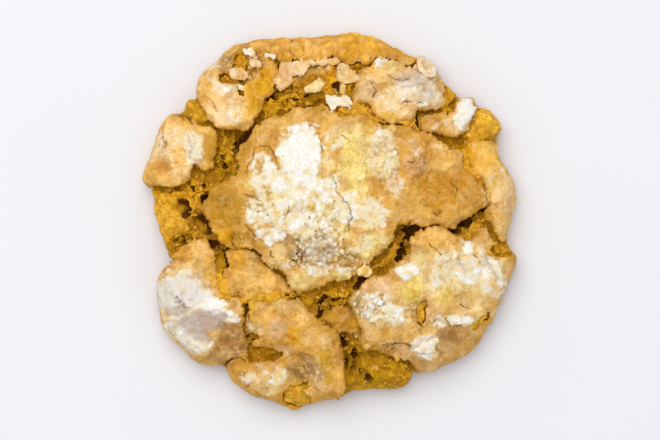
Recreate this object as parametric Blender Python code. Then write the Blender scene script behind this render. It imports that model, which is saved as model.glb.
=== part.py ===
"""Lemon cheesecake cookie: one solid of baked dough whose crust broke into plates as it spread.

The dough is a low dome with a round rim and a flat foot. Each plate of crust, and each patch of bare
crumb between them, is a lobe with its own outline and level. Fissures are what no lobe covers.
Outlines are in millimetres, seen from above, +X right and +Y up. A point outside the rim carries its
lobe down the side.
"""

import math

import bmesh
import bpy
import numpy as np
from mathutils import Vector, noise

MM = 0.001

# Driving sizes, in millimetres
DOME_HEIGHT = 17.0  # top of the middle plate
SHOULDER_HEIGHT = 11.5  # where the dome turns down into the rim
RIM_HEIGHT = 4.6  # the widest point stands this high
RIM_ROUNDING = 6.5  # how far in from the outline the rim starts to curve down
FOOT_INSET = 2.6  # how far the foot lies inside the outline
FISSURE_DEPTH = 3.6  # from the plates down to the floor of a fissure
WALL_WIDTH = 1.2  # how far out from its outline a lobe's side reaches the floor
LEDGE_WIDTH = 0.8  # how wide the slope of a step inside a plate is
CENTRE_FLATNESS = 2.2  # power by which the dome falls from its middle to its shoulder
SHOULDER_SLOPE = 0.32  # how steep the dome is where it meets the rim

# Where the sphere that the mesh starts from is folded: dome and side above, foot below
FOOT_ANGLE = math.radians(118)
SPHERE_LEVEL = 7
TRIANGLES = 10500
CURVE_STEPS = 5

# How a lobe swells towards its middle, drops at its edge and varies, in millimetres
CRUST = {"swell": 0.5, "edge_drop": 1.1, "edge_width": 1.7, "rough": 0.14}
CRUMB = {"swell": 0.0, "edge_drop": 0.9, "edge_width": 1.2, "rough": 0.42}
FLOOR = {"swell": 0.2, "edge_drop": 0.5, "edge_width": 1.0, "rough": 0.25}
SWELL_WIDTH = 4.0  # how far in from its edge a plate has swelled up

# Noise that makes broken edges ragged, and that makes surfaces lumpy: (amount, size, seed)
RAGGED_EDGE = [(0.6, 2.6, 3.1), (0.45, 1.3, 7.7)]
LUMPY_TOP = [(1.0, 3.4, 11.3), (0.7, 1.8, 17.9)]

OUTLINE_REACH = 4.0  # an outline is felt this far outside it
PIT_EDGE = 1.5  # a torn place fades out at this many times its radius

RIM = [
    (41.4, 5.0), (40.0, 10.0), (37.4, 14.6), (37.3, 18.5), (38.1, 20.3), (35.3, 24.0), (32.4, 25.2),
    (31.6, 27.0), (28.4, 27.4), (26.2, 29.2), (24.8, 31.2), (23.2, 33.8), (18.8, 36.0), (15.0, 38.1),
    (10.5, 40.3), (5.0, 41.5), (0.0, 40.8), (-8.0, 40.4), (-15.0, 40.0), (-20.3, 39.0), (-23.4, 37.4),
    (-25.2, 35.1), (-28.2, 32.5), (-29.6, 29.5), (-29.7, 27.1), (-31.8, 26.2), (-32.8, 23.7),
    (-35.4, 23.1), (-37.6, 20.6), (-38.9, 16.4), (-40.8, 12.0), (-41.4, 9.0), (-39.2, 5.7),
    (-38.7, 1.0), (-37.2, -4.0), (-36.5, -6.0), (-35.6, -9.2), (-37.8, -12.6), (-38.0, -16.3),
    (-37.5, -20.5), (-36.4, -25.0), (-32.6, -28.9), (-29.2, -32.1), (-23.6, -32.7), (-21.8, -35.7),
    (-17.5, -38.7), (-12.0, -40.6), (-7.8, -41.7), (-2.5, -40.6), (2.6, -39.2), (6.8, -37.6),
    (14.5, -37.6), (17.2, -36.6), (19.2, -34.3), (24.5, -33.2), (30.0, -30.4), (34.2, -26.5),
    (37.0, -20.0), (39.6, -14.0), (41.5, -8.7), (39.3, -5.0), (40.2, -0.5),
]

# name: (kind, level above the dome, outline)
LOBES = {
    "middle": (CRUST, 0.0, [
        (-20.0, 15.5), (-17.3, 19.2), (-14.6, 21.5), (-10.6, 22.8), (-6.5, 24.8), (-1.0, 25.2),
        (3.0, 22.6), (7.5, 23.1), (11.3, 21.0), (16.5, 20.6), (20.5, 19.3), (24.4, 17.5), (26.5, 15.6),
        (29.5, 14.8), (29.6, 11.3), (32.6, 8.9), (34.7, 6.0), (34.6, 3.1), (31.4, 0.9), (27.3, -2.3),
        (23.3, -0.9), (20.8, -1.5), (15.6, -0.7), (13.9, -4.2), (11.2, -7.4), (6.6, -10.8),
        (4.2, -13.4), (-0.2, -13.4), (-2.7, -15.4), (-8.2, -15.6), (-10.0, -12.5), (-14.5, -9.2),
        (-16.5, -6.5), (-23.3, -6.0), (-25.6, -3.2), (-28.0, 2.2), (-26.4, 6.2), (-22.6, 8.6),
        (-20.2, 10.2)]),
    "upper_left": (CRUST, -0.3, [
        (-33.5, 28.5), (-29.6, 27.2), (-26.8, 23.2), (-24.9, 20.3), (-18.3, 20.1), (-15.6, 23.3),
        (-14.4, 26.8), (-12.3, 28.6), (-11.4, 32.5), (-12.4, 36.0), (-17.0, 37.6), (-21.5, 41.5),
        (-28.0, 38.5), (-33.0, 33.0)]),
    "top": (CRUST, -0.6, [
        (-25.0, 41.0), (-20.5, 38.2), (-14.0, 37.4), (-11.6, 34.8), (-8.3, 36.0), (-3.2, 35.2),
        (0.8, 36.4), (2.2, 34.8), (6.2, 33.4), (9.4, 35.0), (10.6, 37.0), (14.8, 36.9), (18.2, 34.6),
        (21.5, 38.0), (14.0, 44.0), (5.0, 46.0), (-12.0, 45.0)]),
    "top_flakes": (CRUMB, -1.4, [
        (-11.2, 30.0), (-10.6, 34.6), (-7.6, 35.8), (-3.0, 34.9), (1.0, 35.9), (2.4, 34.2), (6.0, 32.8),
        (5.0, 29.5), (4.6, 26.0), (0.0, 26.6), (-4.6, 27.8), (-7.0, 29.4)]),
    "upper_right": (CRUST, -0.3, [
        (6.4, 32.8), (9.6, 35.0), (12.0, 36.2), (18.2, 34.3), (20.0, 39.0), (26.0, 37.0), (29.0, 33.0),
        (25.2, 29.6), (24.8, 25.0), (19.6, 23.9), (18.0, 21.8), (13.0, 21.2), (9.6, 23.0), (8.6, 25.3),
        (5.0, 26.0), (5.6, 30.0)]),
    "upper_right_crumb": (CRUMB, -1.6, [
        (25.0, 24.8), (25.4, 29.5), (29.0, 32.0), (31.0, 30.0), (28.2, 27.0), (28.0, 24.4)]),
    "right_small": (CRUST, -0.5, [
        (20.2, 22.4), (22.4, 23.4), (28.2, 24.2), (28.4, 27.0), (30.0, 31.0), (35.0, 28.0),
        (32.2, 24.8), (31.2, 21.2), (29.4, 18.7), (24.0, 18.9), (20.4, 20.2)]),
    "right_crumb": (CRUMB, -1.8, [
        (32.5, 25.4), (36.5, 28.0), (42.0, 23.0), (41.0, 18.0), (36.6, 17.2), (29.8, 17.0),
        (30.4, 19.3), (32.2, 22.4)]),
    "right": (CRUST, -0.5, [
        (31.2, 17.2), (35.6, 17.6), (40.0, 17.0), (44.0, 12.0), (46.0, 4.0), (44.0, -4.5),
        (38.4, -4.6), (36.8, -1.4), (34.6, 0.6), (35.3, 4.4), (33.6, 8.6), (31.4, 11.0)]),
    "right_nub": (CRUMB, -1.4, [
        (36.6, -5.0), (39.2, -4.8), (44.5, -6.5), (41.0, -7.8), (37.4, -8.3), (36.3, -6.8)]),
    "lower_right": (CRUST, -0.2, [
        (17.9, -4.4), (19.6, -2.6), (23.4, -1.4), (26.0, -2.3), (29.0, -4.6), (32.2, -3.8),
        (33.8, -1.1), (35.8, -1.2), (36.4, -4.6), (36.3, -6.6), (37.4, -8.5), (41.0, -7.9),
        (46.0, -9.0), (44.0, -18.0), (39.5, -27.0), (33.0, -34.0), (25.5, -37.0), (20.0, -36.5),
        (18.6, -32.2), (14.4, -30.8), (10.5, -29.2), (7.4, -28.6), (6.8, -24.0), (4.2, -18.2),
        (6.2, -15.3), (8.2, -12.9), (12.0, -12.0), (15.5, -8.6), (17.2, -7.6)]),
    "notch": (CRUST, -1.6, [
        (-0.6, -20.8), (2.4, -19.3), (5.0, -20.2), (6.8, -23.5), (7.4, -27.4), (4.6, -25.7),
        (1.8, -25.3), (-1.8, -22.4)]),
    "bottom_crumb": (CRUMB, -2.6, [
        (3.2, -26.2), (6.6, -27.2), (7.8, -29.4), (12.0, -30.2), (18.2, -32.2), (20.0, -37.5),
        (14.0, -42.0), (4.0, -42.0), (4.4, -35.5), (5.6, -31.5), (3.6, -29.0)]),
    "bottom": (CRUST, -0.7, [
        (-18.2, -20.5), (-17.6, -18.2), (-13.0, -17.2), (-8.6, -17.3), (-5.4, -19.6), (-2.4, -22.6),
        (0.9, -24.6), (2.8, -29.2), (3.6, -35.2), (1.6, -39.0), (3.0, -43.5), (-8.0, -46.0),
        (-20.0, -43.0), (-26.5, -37.0), (-23.4, -32.9), (-20.6, -31.3), (-18.1, -32.0),
        (-11.0, -30.8), (-12.0, -29.0), (-18.0, -27.8), (-18.8, -25.0)]),
    "lower_left": (CRUST, -0.4, [
        (-43.0, -11.0), (-38.2, -11.9), (-34.6, -8.8), (-31.6, -5.6), (-28.6, -4.5), (-26.3, -6.3),
        (-24.8, -12.2), (-23.5, -17.0), (-20.2, -17.3), (-18.6, -19.6), (-19.4, -24.0),
        (-18.4, -27.5), (-18.3, -31.7), (-20.8, -31.0), (-23.7, -32.6), (-25.0, -37.0),
        (-33.0, -35.0), (-40.5, -28.0), (-43.0, -19.0)]),
    "inner_left": (CRUST, -0.9, [
        (-23.2, -7.4), (-21.2, -6.3), (-17.0, -7.2), (-13.3, -10.8), (-10.2, -13.2), (-8.4, -16.4),
        (-13.0, -16.9), (-18.2, -18.2), (-20.2, -17.0), (-23.6, -16.6), (-24.6, -12.4),
        (-22.6, -10.8)]),
    "lower_left_nub": (CRUMB, -3.0, [
        (-42.0, -4.8), (-35.3, -4.2), (-33.6, -6.6), (-35.6, -9.8), (-41.0, -9.5)]),
    "left_crumb": (CRUMB, -2.0, [
        (-44.0, 5.5), (-38.0, 6.5), (-32.2, 7.2), (-30.2, 10.3), (-28.2, 8.8), (-28.7, 2.2),
        (-31.4, 0.2), (-29.2, -2.0), (-29.2, -4.4), (-33.2, -4.0), (-38.0, -4.8), (-43.0, -4.0)]),
    "left": (CRUST, -0.4, [
        (-36.0, 27.0), (-33.6, 22.9), (-29.6, 21.3), (-25.6, 20.2), (-25.1, 15.0), (-27.0, 11.2),
        (-30.2, 12.0), (-31.4, 8.6), (-34.4, 7.2), (-38.4, 7.4), (-42.5, 6.5), (-46.0, 9.0),
        (-43.0, 17.0), (-41.0, 23.0)]),
    "upper_left_nub": (CRUMB, -2.2, [
        (-33.5, 29.5), (-33.4, 24.0), (-29.6, 21.8), (-27.4, 22.4), (-29.4, 26.0), (-30.2, 28.5)]),
    "north_floor": (FLOOR, -1.0, [
        (3.2, 26.0), (7.6, 26.6), (9.4, 23.8), (13.0, 22.0), (17.8, 22.6), (20.4, 22.0), (20.4, 19.6),
        (16.5, 20.0), (11.3, 20.4), (7.5, 22.4), (3.0, 22.2), (0.6, 24.6)]),
    "inner_floor": (FLOOR, -1.0, [
        (-20.6, -17.4), (-18.2, -16.6), (-13.0, -15.4), (-9.4, -15.4), (-8.6, -17.6), (-13.0, -18.4),
        (-18.0, -19.4)]),
    "left_floor": (FLOOR, -0.9, [
        (-25.6, -12.2), (-22.6, -12.0), (-21.6, -17.0), (-18.8, -18.4), (-20.2, -19.4), (-24.6, -18.0)]),
    "right_floor": (FLOOR, -0.9, [
        (28.6, 16.6), (31.6, 17.2), (32.4, 11.4), (34.8, 7.6), (36.2, 4.6), (35.2, 2.6), (33.4, 5.6),
        (30.6, 9.4), (28.8, 12.0)]),
    "east_crumb": (CRUMB, -1.8, [
        (29.0, -3.2), (31.2, -1.4), (33.6, 0.2), (35.4, -0.6), (34.6, -2.6), (32.4, -4.2), (29.6, -4.8)]),
    "south_crumb": (CRUMB, -2.2, [
        (-7.6, -16.4), (-2.6, -15.6), (4.0, -14.2), (8.0, -12.2), (6.2, -15.6), (4.2, -18.6),
        (0.2, -19.6), (-2.2, -22.4), (-5.2, -19.4)]),
    "southeast_crumb": (CRUMB, -2.0, [
        (8.2, -11.4), (11.4, -8.4), (14.4, -5.0), (15.6, -1.4), (17.2, -3.4), (15.8, -7.6),
        (12.4, -11.0), (9.0, -12.6)]),
    "northwest_crumb": (CRUMB, -2.2, [
        (-25.0, 11.0), (-21.6, 9.4), (-20.6, 12.0), (-21.6, 17.4), (-24.6, 19.6)]),
    "north_crumb": (CRUMB, -1.8, [
        (-14.8, 26.4), (-11.0, 27.6), (-7.2, 28.4), (-3.6, 27.6), (-6.4, 25.2), (-11.4, 23.4),
        (-15.2, 21.6)]),
}

# Places torn deeper than the rest: (x, y, radius, depth)
PITS = [
    (-17.2, -26.3, 1.6, 1.5), (-7.2, -38.6, 3.2, 1.8), (-21.0, 33.0, 3.2, 1.2), (-4.6, 31.4, 2.8, 1.0),
    (20.3, -20.0, 1.6, 0.8), (33.2, -23.4, 1.5, 0.8), (-32.3, 2.6, 1.2, 1.6), (-18.4, 19.2, 2.2, 2.0),
    (-4.0, 26.0, 2.4, 1.4), (-29.0, -0.8, 2.2, 1.4), (17.4, -3.6, 2.4, 2.2), (28.4, -1.8, 1.6, 1.4),
    (-1.2, -19.2, 1.8, 1.6), (2.6, -27.0, 1.6, 1.6), (5.0, -33.2, 1.5, 1.4),
]

# Ledges inside the plates, where a layer of crust lies higher or lower: (step, outline)
LEDGES = [
    (0.4, [(-12.2, 10.5), (-11.6, 16.5), (-9.6, 20.2), (-4.8, 21.4), (-2.2, 18.6), (-1.6, 11.4),
           (-4.2, 9.2), (-8.4, 10.4)]),
    (0.25, [(1.4, 15.8), (4.4, 18.4), (9.2, 18.0), (9.8, 12.0), (8.6, 6.2), (5.6, 4.6), (2.8, 7.6)]),
    (0.3, [(-14.2, 3.4), (-10.8, 8.0), (-4.0, 8.8), (0.2, 7.8), (3.0, 3.6), (4.2, -1.0), (0.6, -3.6),
           (-5.2, -1.6), (-11.0, -2.2)]),
    (-0.45, [(17.6, 7.6), (21.6, 9.8), (27.4, 9.0), (31.4, 5.4), (29.0, 1.6), (22.0, 1.2), (18.0, 3.2)]),
    (-0.35, [(-12.0, -3.2), (-8.2, -2.8), (-6.6, -7.6), (-9.6, -8.6), (-12.6, -6.4)]),
    (0.3, [(5.4, -3.4), (9.6, -2.0), (12.6, -4.2), (9.4, -8.0), (6.0, -8.6)]),
    (-0.7, [(23.0, -22.0), (26.4, -23.2), (29.6, -23.6), (34.2, -22.8), (38.0, -27.0), (30.0, -38.0),
            (24.0, -38.0), (24.2, -28.4)]),
    (-0.6, [(9.0, -28.2), (12.4, -27.4), (16.2, -26.9), (18.4, -28.6), (19.0, -36.0), (9.0, -36.0)]),
    (0.35, [(14.8, -12.2), (19.4, -11.6), (22.8, -14.4), (21.2, -19.0), (16.0, -19.4), (14.4, -16.0)]),
    (0.4, [(28.8, -9.0), (32.0, -7.2), (36.8, -8.8), (37.6, -14.0), (33.0, -17.4), (28.0, -15.0)]),
    (-0.4, [(27.6, -16.0), (32.8, -16.2), (33.6, -19.0), (28.2, -19.4)]),
    (0.3, [(6.4, -16.4), (10.4, -14.8), (15.2, -18.2), (15.8, -22.8), (11.0, -23.8), (7.6, -21.4)]),
    (0.35, [(-37.0, -11.6), (-32.0, -9.8), (-27.2, -12.6), (-25.6, -18.2), (-19.6, -21.4),
            (-24.0, -23.6), (-29.4, -22.4), (-33.4, -26.4), (-38.4, -22.0)]),
    (-0.7, [(-33.8, -17.6), (-32.6, -17.2), (-31.8, -18.4), (-32.8, -19.2)]),
    (-0.55, [(-24.4, -22.6), (-22.8, -22.4), (-21.4, -23.2), (-20.2, -23.0), (-18.8, -22.2),
             (-18.0, -26.0), (-18.4, -31.2), (-23.6, -32.6), (-25.4, -29.5), (-24.6, -26.0)]),
    (-0.7, [(-23.8, 36.6), (-21.6, 38.6), (-13.6, 37.8), (-12.8, 35.4), (-15.4, 32.8), (-18.4, 30.0),
            (-22.8, 31.0)]),
    (-0.5, [(-14.8, 32.0), (-12.2, 31.0), (-13.4, 27.0), (-15.6, 24.2), (-17.0, 27.6)]),
    (0.3, [(12.6, 31.6), (17.6, 33.2), (22.8, 30.6), (23.4, 26.4), (18.6, 24.4), (13.4, 26.4)]),
    (-0.4, [(-38.8, 13.4), (-35.4, 13.6), (-34.8, 10.2), (-38.4, 9.4)]),
    (0.35, [(-32.0, 19.4), (-28.2, 19.2), (-27.0, 14.2), (-29.8, 13.2), (-32.6, 15.4)]),
    (-0.5, [(-9.4, -30.4), (-4.6, -29.6), (-2.8, -34.0), (-6.2, -37.2), (-10.4, -35.4)]),
    (0.3, [(-14.6, -32.4), (-10.2, -31.8), (-9.4, -35.4), (-14.0, -36.6)]),
    (-0.5, [(-16.8, -18.0), (-8.6, -18.8), (-9.6, -21.2), (-16.4, -21.6)]),
]

# Flakes of crust that lie on the crumb: (height over it, outline)
FLAKES = [
    (0.5, [(-5.7, 29.7), (-3.4, 30.6), (-2.3, 31.3), (-1.0, 30.4), (-1.9, 28.9), (-3.2, 28.2), (-5.4, 28.4)]),
    (0.9, [(-1.2, 27.1), (0.3, 27.3), (3.6, 26.9), (4.8, 25.4), (4.0, 24.3), (1.6, 24.8), (0.3, 23.6)]),
    (0.7, [(1.9, 34.2), (4.1, 33.8), (5.6, 32.4), (6.8, 30.7), (5.0, 30.0), (2.4, 30.1), (1.5, 32.0)]),
    (0.7, [(-12.4, 30.6), (-10.9, 28.6), (-8.7, 29.7), (-8.3, 31.8), (-6.1, 31.8), (-4.1, 34.1),
           (1.6, 34.3), (1.4, 36.2), (-3.0, 35.4), (-6.8, 35.6), (-10.0, 34.9), (-11.4, 32.6)]),
    (0.6, [(18.9, 34.6), (21.2, 35.2), (23.2, 33.0), (22.6, 31.2), (20.0, 31.6)]),
    (0.7, [(18.5, -28.4), (19.2, -27.3), (20.3, -26.2), (23.3, -25.8), (23.0, -28.2), (21.2, -28.9)]),
]


def closed_curve(points, steps=CURVE_STEPS):
    """Points of a smooth closed curve that passes through the given ones."""
    ends = np.array(points, float)
    before, after, later = np.roll(ends, 1, 0), np.roll(ends, -1, 0), np.roll(ends, -2, 0)
    t = (np.arange(steps) / steps)[None, :, None]
    a, b, c, d = (side[:, None, :] for side in (before, ends, after, later))
    curve = 0.5 * (2 * b + (c - a) * t + (2 * a - 5 * b + 4 * c - d) * t**2 + (3 * b - a - 3 * c + d) * t**3)
    return curve.reshape(-1, 2)


def ramp(value):
    """0 below 0, 1 above 1, smooth between."""
    value = np.clip(value, 0.0, 1.0)
    return value * value * (3 - 2 * value)


def signed_distance(at, outline):
    """How far each point lies inside an outline. It is negative outside, as far as it is felt."""
    distance = np.full(len(at), -OUTLINE_REACH)
    low, high = outline.min(0) - OUTLINE_REACH, outline.max(0) + OUTLINE_REACH
    near = np.flatnonzero(((at > low) & (at < high)).all(1))
    points = at[near]
    nearest = np.full(len(points), np.inf)
    inside = np.zeros(len(points), bool)
    for start, end in zip(outline, np.roll(outline, -1, 0)):
        side, reach = end - start, points - start
        share = np.clip(reach @ side / (side @ side), 0.0, 1.0)
        away = reach - share[:, None] * side
        nearest = np.minimum(nearest, (away * away).sum(1))
        if side[1]:
            crosses = (start[1] > points[:, 1]) != (end[1] > points[:, 1])
            inside ^= crosses & (points[:, 0] < start[0] + (points[:, 1] - start[1]) * side[0] / side[1])
    nearest = np.sqrt(nearest)
    distance[near] = np.where(inside, nearest, -np.minimum(nearest, OUTLINE_REACH))
    return distance


def rim_radius(angle):
    """Distance from the middle to the outline in each direction."""
    outline = closed_curve(RIM)
    bearing = np.arctan2(outline[:, 1], outline[:, 0])
    order = np.argsort(bearing)
    return np.interp(angle, bearing[order], np.hypot(*outline[order].T), period=2 * math.pi)


def quarter_length(across, up):
    """Length of a quarter of an ellipse."""
    return math.pi / 4 * (3 * (across + up) - math.sqrt((3 * across + up) * (across + 3 * up))) / 2


UPPER_ARC = quarter_length(RIM_ROUNDING, SHOULDER_HEIGHT - RIM_HEIGHT)
LOWER_ARC = quarter_length(FOOT_INSET, RIM_HEIGHT)
SIDE_LENGTH = UPPER_ARC + LOWER_ARC


def unrolled(plan):
    """Where points seen from above lie once the rim is rolled out flat round the dome."""
    radius, bearing = np.hypot(*plan.T), np.arctan2(plan[:, 1], plan[:, 0])
    rim = rim_radius(bearing)
    inner = rim - RIM_ROUNDING
    share = np.clip((radius - inner) / RIM_ROUNDING, 0.0, 1.0)
    along = inner + UPPER_ARC * np.arcsin(share) * 2 / math.pi + np.maximum(radius - rim, 0)
    along = np.where(radius < inner, radius, along)
    return along[:, None] * np.stack([np.cos(bearing), np.sin(bearing)], 1)


def dome(along, bearing):
    """Radius, height and outward normal of the smooth dough at a distance along its skin from the top."""
    rim = rim_radius(bearing)
    inner = rim - RIM_ROUNDING
    flat = np.clip(along / inner, 0.0, 1.0)
    upper = np.clip((along - inner) / UPPER_ARC, 0.0, 1.0) * math.pi / 2
    lower = np.clip((along - inner - UPPER_ARC) / LOWER_ARC, 0.0, 1.0) * math.pi / 2
    radius = inner * flat + RIM_ROUNDING * np.sin(upper) - FOOT_INSET * (1 - np.cos(lower))
    height = DOME_HEIGHT - (DOME_HEIGHT - SHOULDER_HEIGHT) * flat**CENTRE_FLATNESS
    height -= (SHOULDER_HEIGHT - RIM_HEIGHT) * (1 - np.cos(upper)) + RIM_HEIGHT * np.sin(lower)
    lean = np.arctan(SHOULDER_SLOPE * flat ** (CENTRE_FLATNESS - 1)) * (1 - upper * 2 / math.pi)
    tilt = lean + upper + lower
    return radius, height, np.stack([np.sin(tilt), np.cos(tilt)], 1)


def wobble(at, layers):
    """Smooth noise, from layers of bumps that are each about size across."""
    total = np.zeros(len(at))
    for amount, size, seed in layers:
        total += amount * np.array([noise.noise(Vector((x / size, y / size, seed))) for x, y in at])
    return total


def inside_skin(at, points):
    """How far points of the rolled-out skin lie inside an outline given as seen from above."""
    return signed_distance(at, unrolled(closed_curve(points)))


def relief(at):
    """Height of lobes, ledges and fissures over the smooth dough, at points of the rolled-out skin."""
    ragged, lumps = wobble(at, RAGGED_EDGE), wobble(at, LUMPY_TOP)
    height = -FISSURE_DEPTH + CRUMB["rough"] * lumps
    for kind, level, points in LOBES.values():
        inside = inside_skin(at, points) + ragged
        from_edge = np.maximum(inside, 0)
        top = level + kind["swell"] * (1 - np.exp(-from_edge / SWELL_WIDTH)) + kind["rough"] * lumps
        top -= kind["edge_drop"] * np.exp(-from_edge / kind["edge_width"])
        wall = (FISSURE_DEPTH + level) * ramp(-inside / WALL_WIDTH)
        height = np.where(inside > -WALL_WIDTH, np.maximum(height, top - wall), height)
    for rise, points in LEDGES + FLAKES:
        height += rise * ramp(0.5 + (inside_skin(at, points) + ragged) / LEDGE_WIDTH)
    for x, y, radius, depth in PITS:
        away = np.linalg.norm(at - unrolled(np.array([[x, y]])), axis=1)
        height -= depth * ramp(PIT_EDGE - (away + ragged) / radius)
    return height


def dough_points(directions):
    """Moves the points of a sphere onto the cookie's surface."""
    bearing = np.arctan2(directions[:, 1], directions[:, 0])
    fall = np.arccos(np.clip(directions[:, 2], -1.0, 1.0))
    rim = rim_radius(bearing)
    reach = rim - RIM_ROUNDING + SIDE_LENGTH
    along = reach * np.clip(fall / FOOT_ANGLE, 0.0, 1.0)
    radius, height, normal = dome(along, bearing)
    heading = np.stack([np.cos(bearing), np.sin(bearing)], 1)
    lift = relief(along[:, None] * heading)
    # The rim keeps its outline: what the relief takes there is given back
    at_rim = relief((rim - RIM_ROUNDING + UPPER_ARC)[:, None] * heading)
    near_rim = ramp((along - rim + RIM_ROUNDING) / UPPER_ARC)
    lift = (lift - at_rim * near_rim) * ramp(height / RIM_HEIGHT)
    radius = radius + lift * normal[:, 0]
    height = height + lift * normal[:, 1]
    under = fall > FOOT_ANGLE
    foot = (rim - FOOT_INSET) * (math.pi - fall) / (math.pi - FOOT_ANGLE)
    radius = np.where(under, foot, radius)
    height = np.where(under, 0.0, height)
    return np.stack([radius * heading[:, 0], radius * heading[:, 1], height], 1)


def centred(points):
    """The points moved so that their box stands on the origin."""
    low, high = points.min(0), points.max(0)
    return points - np.array([(low[0] + high[0]) / 2, (low[1] + high[1]) / 2, low[2]])


def dough_mesh():
    """A closed mesh of the cookie, from a sphere whose points are moved onto its surface."""
    shape = bmesh.new()
    bmesh.ops.create_icosphere(shape, subdivisions=SPHERE_LEVEL, radius=1.0)
    directions = np.array([corner.co.normalized() for corner in shape.verts])
    for corner, place in zip(shape.verts, centred(dough_points(directions)) * MM):
        corner.co = place
    bmesh.ops.recalc_face_normals(shape, faces=shape.faces)
    mesh = bpy.data.meshes.new("cookie")
    shape.to_mesh(mesh)
    shape.free()
    return mesh


def crust_material():
    """Lemon dough, baked golden."""
    material = bpy.data.materials.new("lemon_dough")
    material.use_nodes = True
    surface = material.node_tree.nodes["Principled BSDF"]
    surface.inputs["Base Color"].default_value = (0.80, 0.50, 0.16, 1.0)
    surface.inputs["Roughness"].default_value = 0.75
    surface.inputs["Metallic"].default_value = 0.0
    return material


def build():
    for old in list(bpy.data.objects):
        bpy.data.objects.remove(old)
    mesh = dough_mesh()
    mesh.materials.append(crust_material())
    cookie = bpy.data.objects.new("cookie", mesh)
    bpy.context.scene.collection.objects.link(cookie)
    # The fine mesh is thinned to fewer triangles, which gather at the edges of the plates
    thin = cookie.modifiers.new("thin", "DECIMATE")
    thin.ratio = TRIANGLES / len(mesh.polygons)


build()
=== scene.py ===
import math
import random

import bmesh
import bpy
import numpy as np
from mathutils import Matrix, Vector, noise


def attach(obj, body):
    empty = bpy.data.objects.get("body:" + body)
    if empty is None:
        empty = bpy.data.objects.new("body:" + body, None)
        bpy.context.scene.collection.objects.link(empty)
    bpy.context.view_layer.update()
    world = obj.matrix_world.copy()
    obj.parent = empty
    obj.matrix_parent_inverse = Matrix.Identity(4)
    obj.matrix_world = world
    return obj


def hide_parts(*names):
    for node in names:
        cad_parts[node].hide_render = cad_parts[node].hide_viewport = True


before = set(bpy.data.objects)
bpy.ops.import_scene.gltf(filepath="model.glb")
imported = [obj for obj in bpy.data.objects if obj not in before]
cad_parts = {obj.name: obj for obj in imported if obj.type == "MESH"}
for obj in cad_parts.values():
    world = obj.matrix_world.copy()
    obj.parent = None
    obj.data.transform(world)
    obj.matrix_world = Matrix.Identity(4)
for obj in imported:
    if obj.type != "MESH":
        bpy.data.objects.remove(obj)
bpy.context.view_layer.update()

# Lemon cheesecake cookie. A body of golden crumb carries plates of sugared crust, loose flakes, crumbs,
# clumps of powdered sugar and white bits on the crumb that are painted glints of light.
# Outlines are in millimetres, seen from above, +X right and +Y up.
MM = 0.001

# Dough, as in the solid that it stands for
DOME_HEIGHT = 17.0
SHOULDER_HEIGHT = 11.5
RIM_HEIGHT = 4.6
RIM_ROUNDING = 6.5
FOOT_INSET = 2.6
FISSURE_DEPTH = 3.6
WALL_WIDTH = 1.0
FOOT_ANGLE = math.radians(118)
SPHERE_LEVEL = 7
CURVE_STEPS = 5

# Crust
CRUST_THICKNESS = 0.55
CRUST_CELL = 0.25  # spacing of a crust plate's mesh
CRACK_CELLS = 0.7  # the mesh is finer this near a crack
BODY_GAP = 1.3  # the crumb lies this far under the middle of a plate
OVERHANG = 0.4  # a plate reaches this far past the crumb that carries it
EDGE_CURL = 0.12
SKIRT_END = 0.55  # share of the rim's lower curve that crust still covers
CRUST_SINK = 0.35  # ledges and swellings rise from this far under a plate's level
CRACK_DEPTH = 0.4
CRACK_WIDTH = 0.16
CRACK_LINE = 0.11  # width of the dark line of painted shade in a crack
CREASE_DEPTH = 0.3
CREASE_WIDTH = 0.4
CREASE_LINE = 0.3
SLAB_SUGAR = 0.9  # from this much sugar on, it lies as a smooth slab
FLAKE_CELL = 0.18
FLAKE_THICKNESS = 0.4
FAR = 8.0  # nothing is felt from farther than this
BATCH = 200  # loose bits made at a time

# The picture
PIXEL = 0.22
PICTURE_WIDTH = 660
CAMERA_HEIGHT = 0.6  # over the rim, in metres
SENSOR = 36.0

CRUST = {"swell": 0.5, "edge_drop": 1.0, "edge_width": 1.7, "rough": 0.16}
CRUMB = {"swell": 0.0, "edge_drop": 0.9, "edge_width": 1.2, "rough": 0.42}
FLOOR = {"swell": 0.2, "edge_drop": 0.5, "edge_width": 1.0, "rough": 0.25}

# Colours, as they look in soft daylight
COLOURS = {
    "white": "#F3F0EB", "cream": "#EFD9A0", "lemon": "#ECCD66", "pale_lemon": "#EDD68A",
    "pink": "#E6BE90", "beige": "#E2B877", "tan": "#DBA650", "light_tan": "#EDBB66", "gold": "#E2A314",
    "khaki": "#BE8B24", "rind": "#CF9833", "amber": "#D0901F", "brown": "#9A6C3C", "toast": "#CC8838",
    "olive": "#C4931C", "orange": "#E89D1C", "grey": "#C9B39D", "honey": "#E6AC38", "moss": "#BC8E0C",
    "rust": "#C8801A", "straw": "#E9C888", "crumb": "#E2A41C", "bright_gold": "#FFC642",
    "haze": "#EFDDB6", "blush": "#EEC892", "pale": "#F1E2CE", "mustard": "#D7A93C", "rosy": "#E0B894",
    "taupe": "#BC9662", "apricot": "#F2BC66",
}

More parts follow.
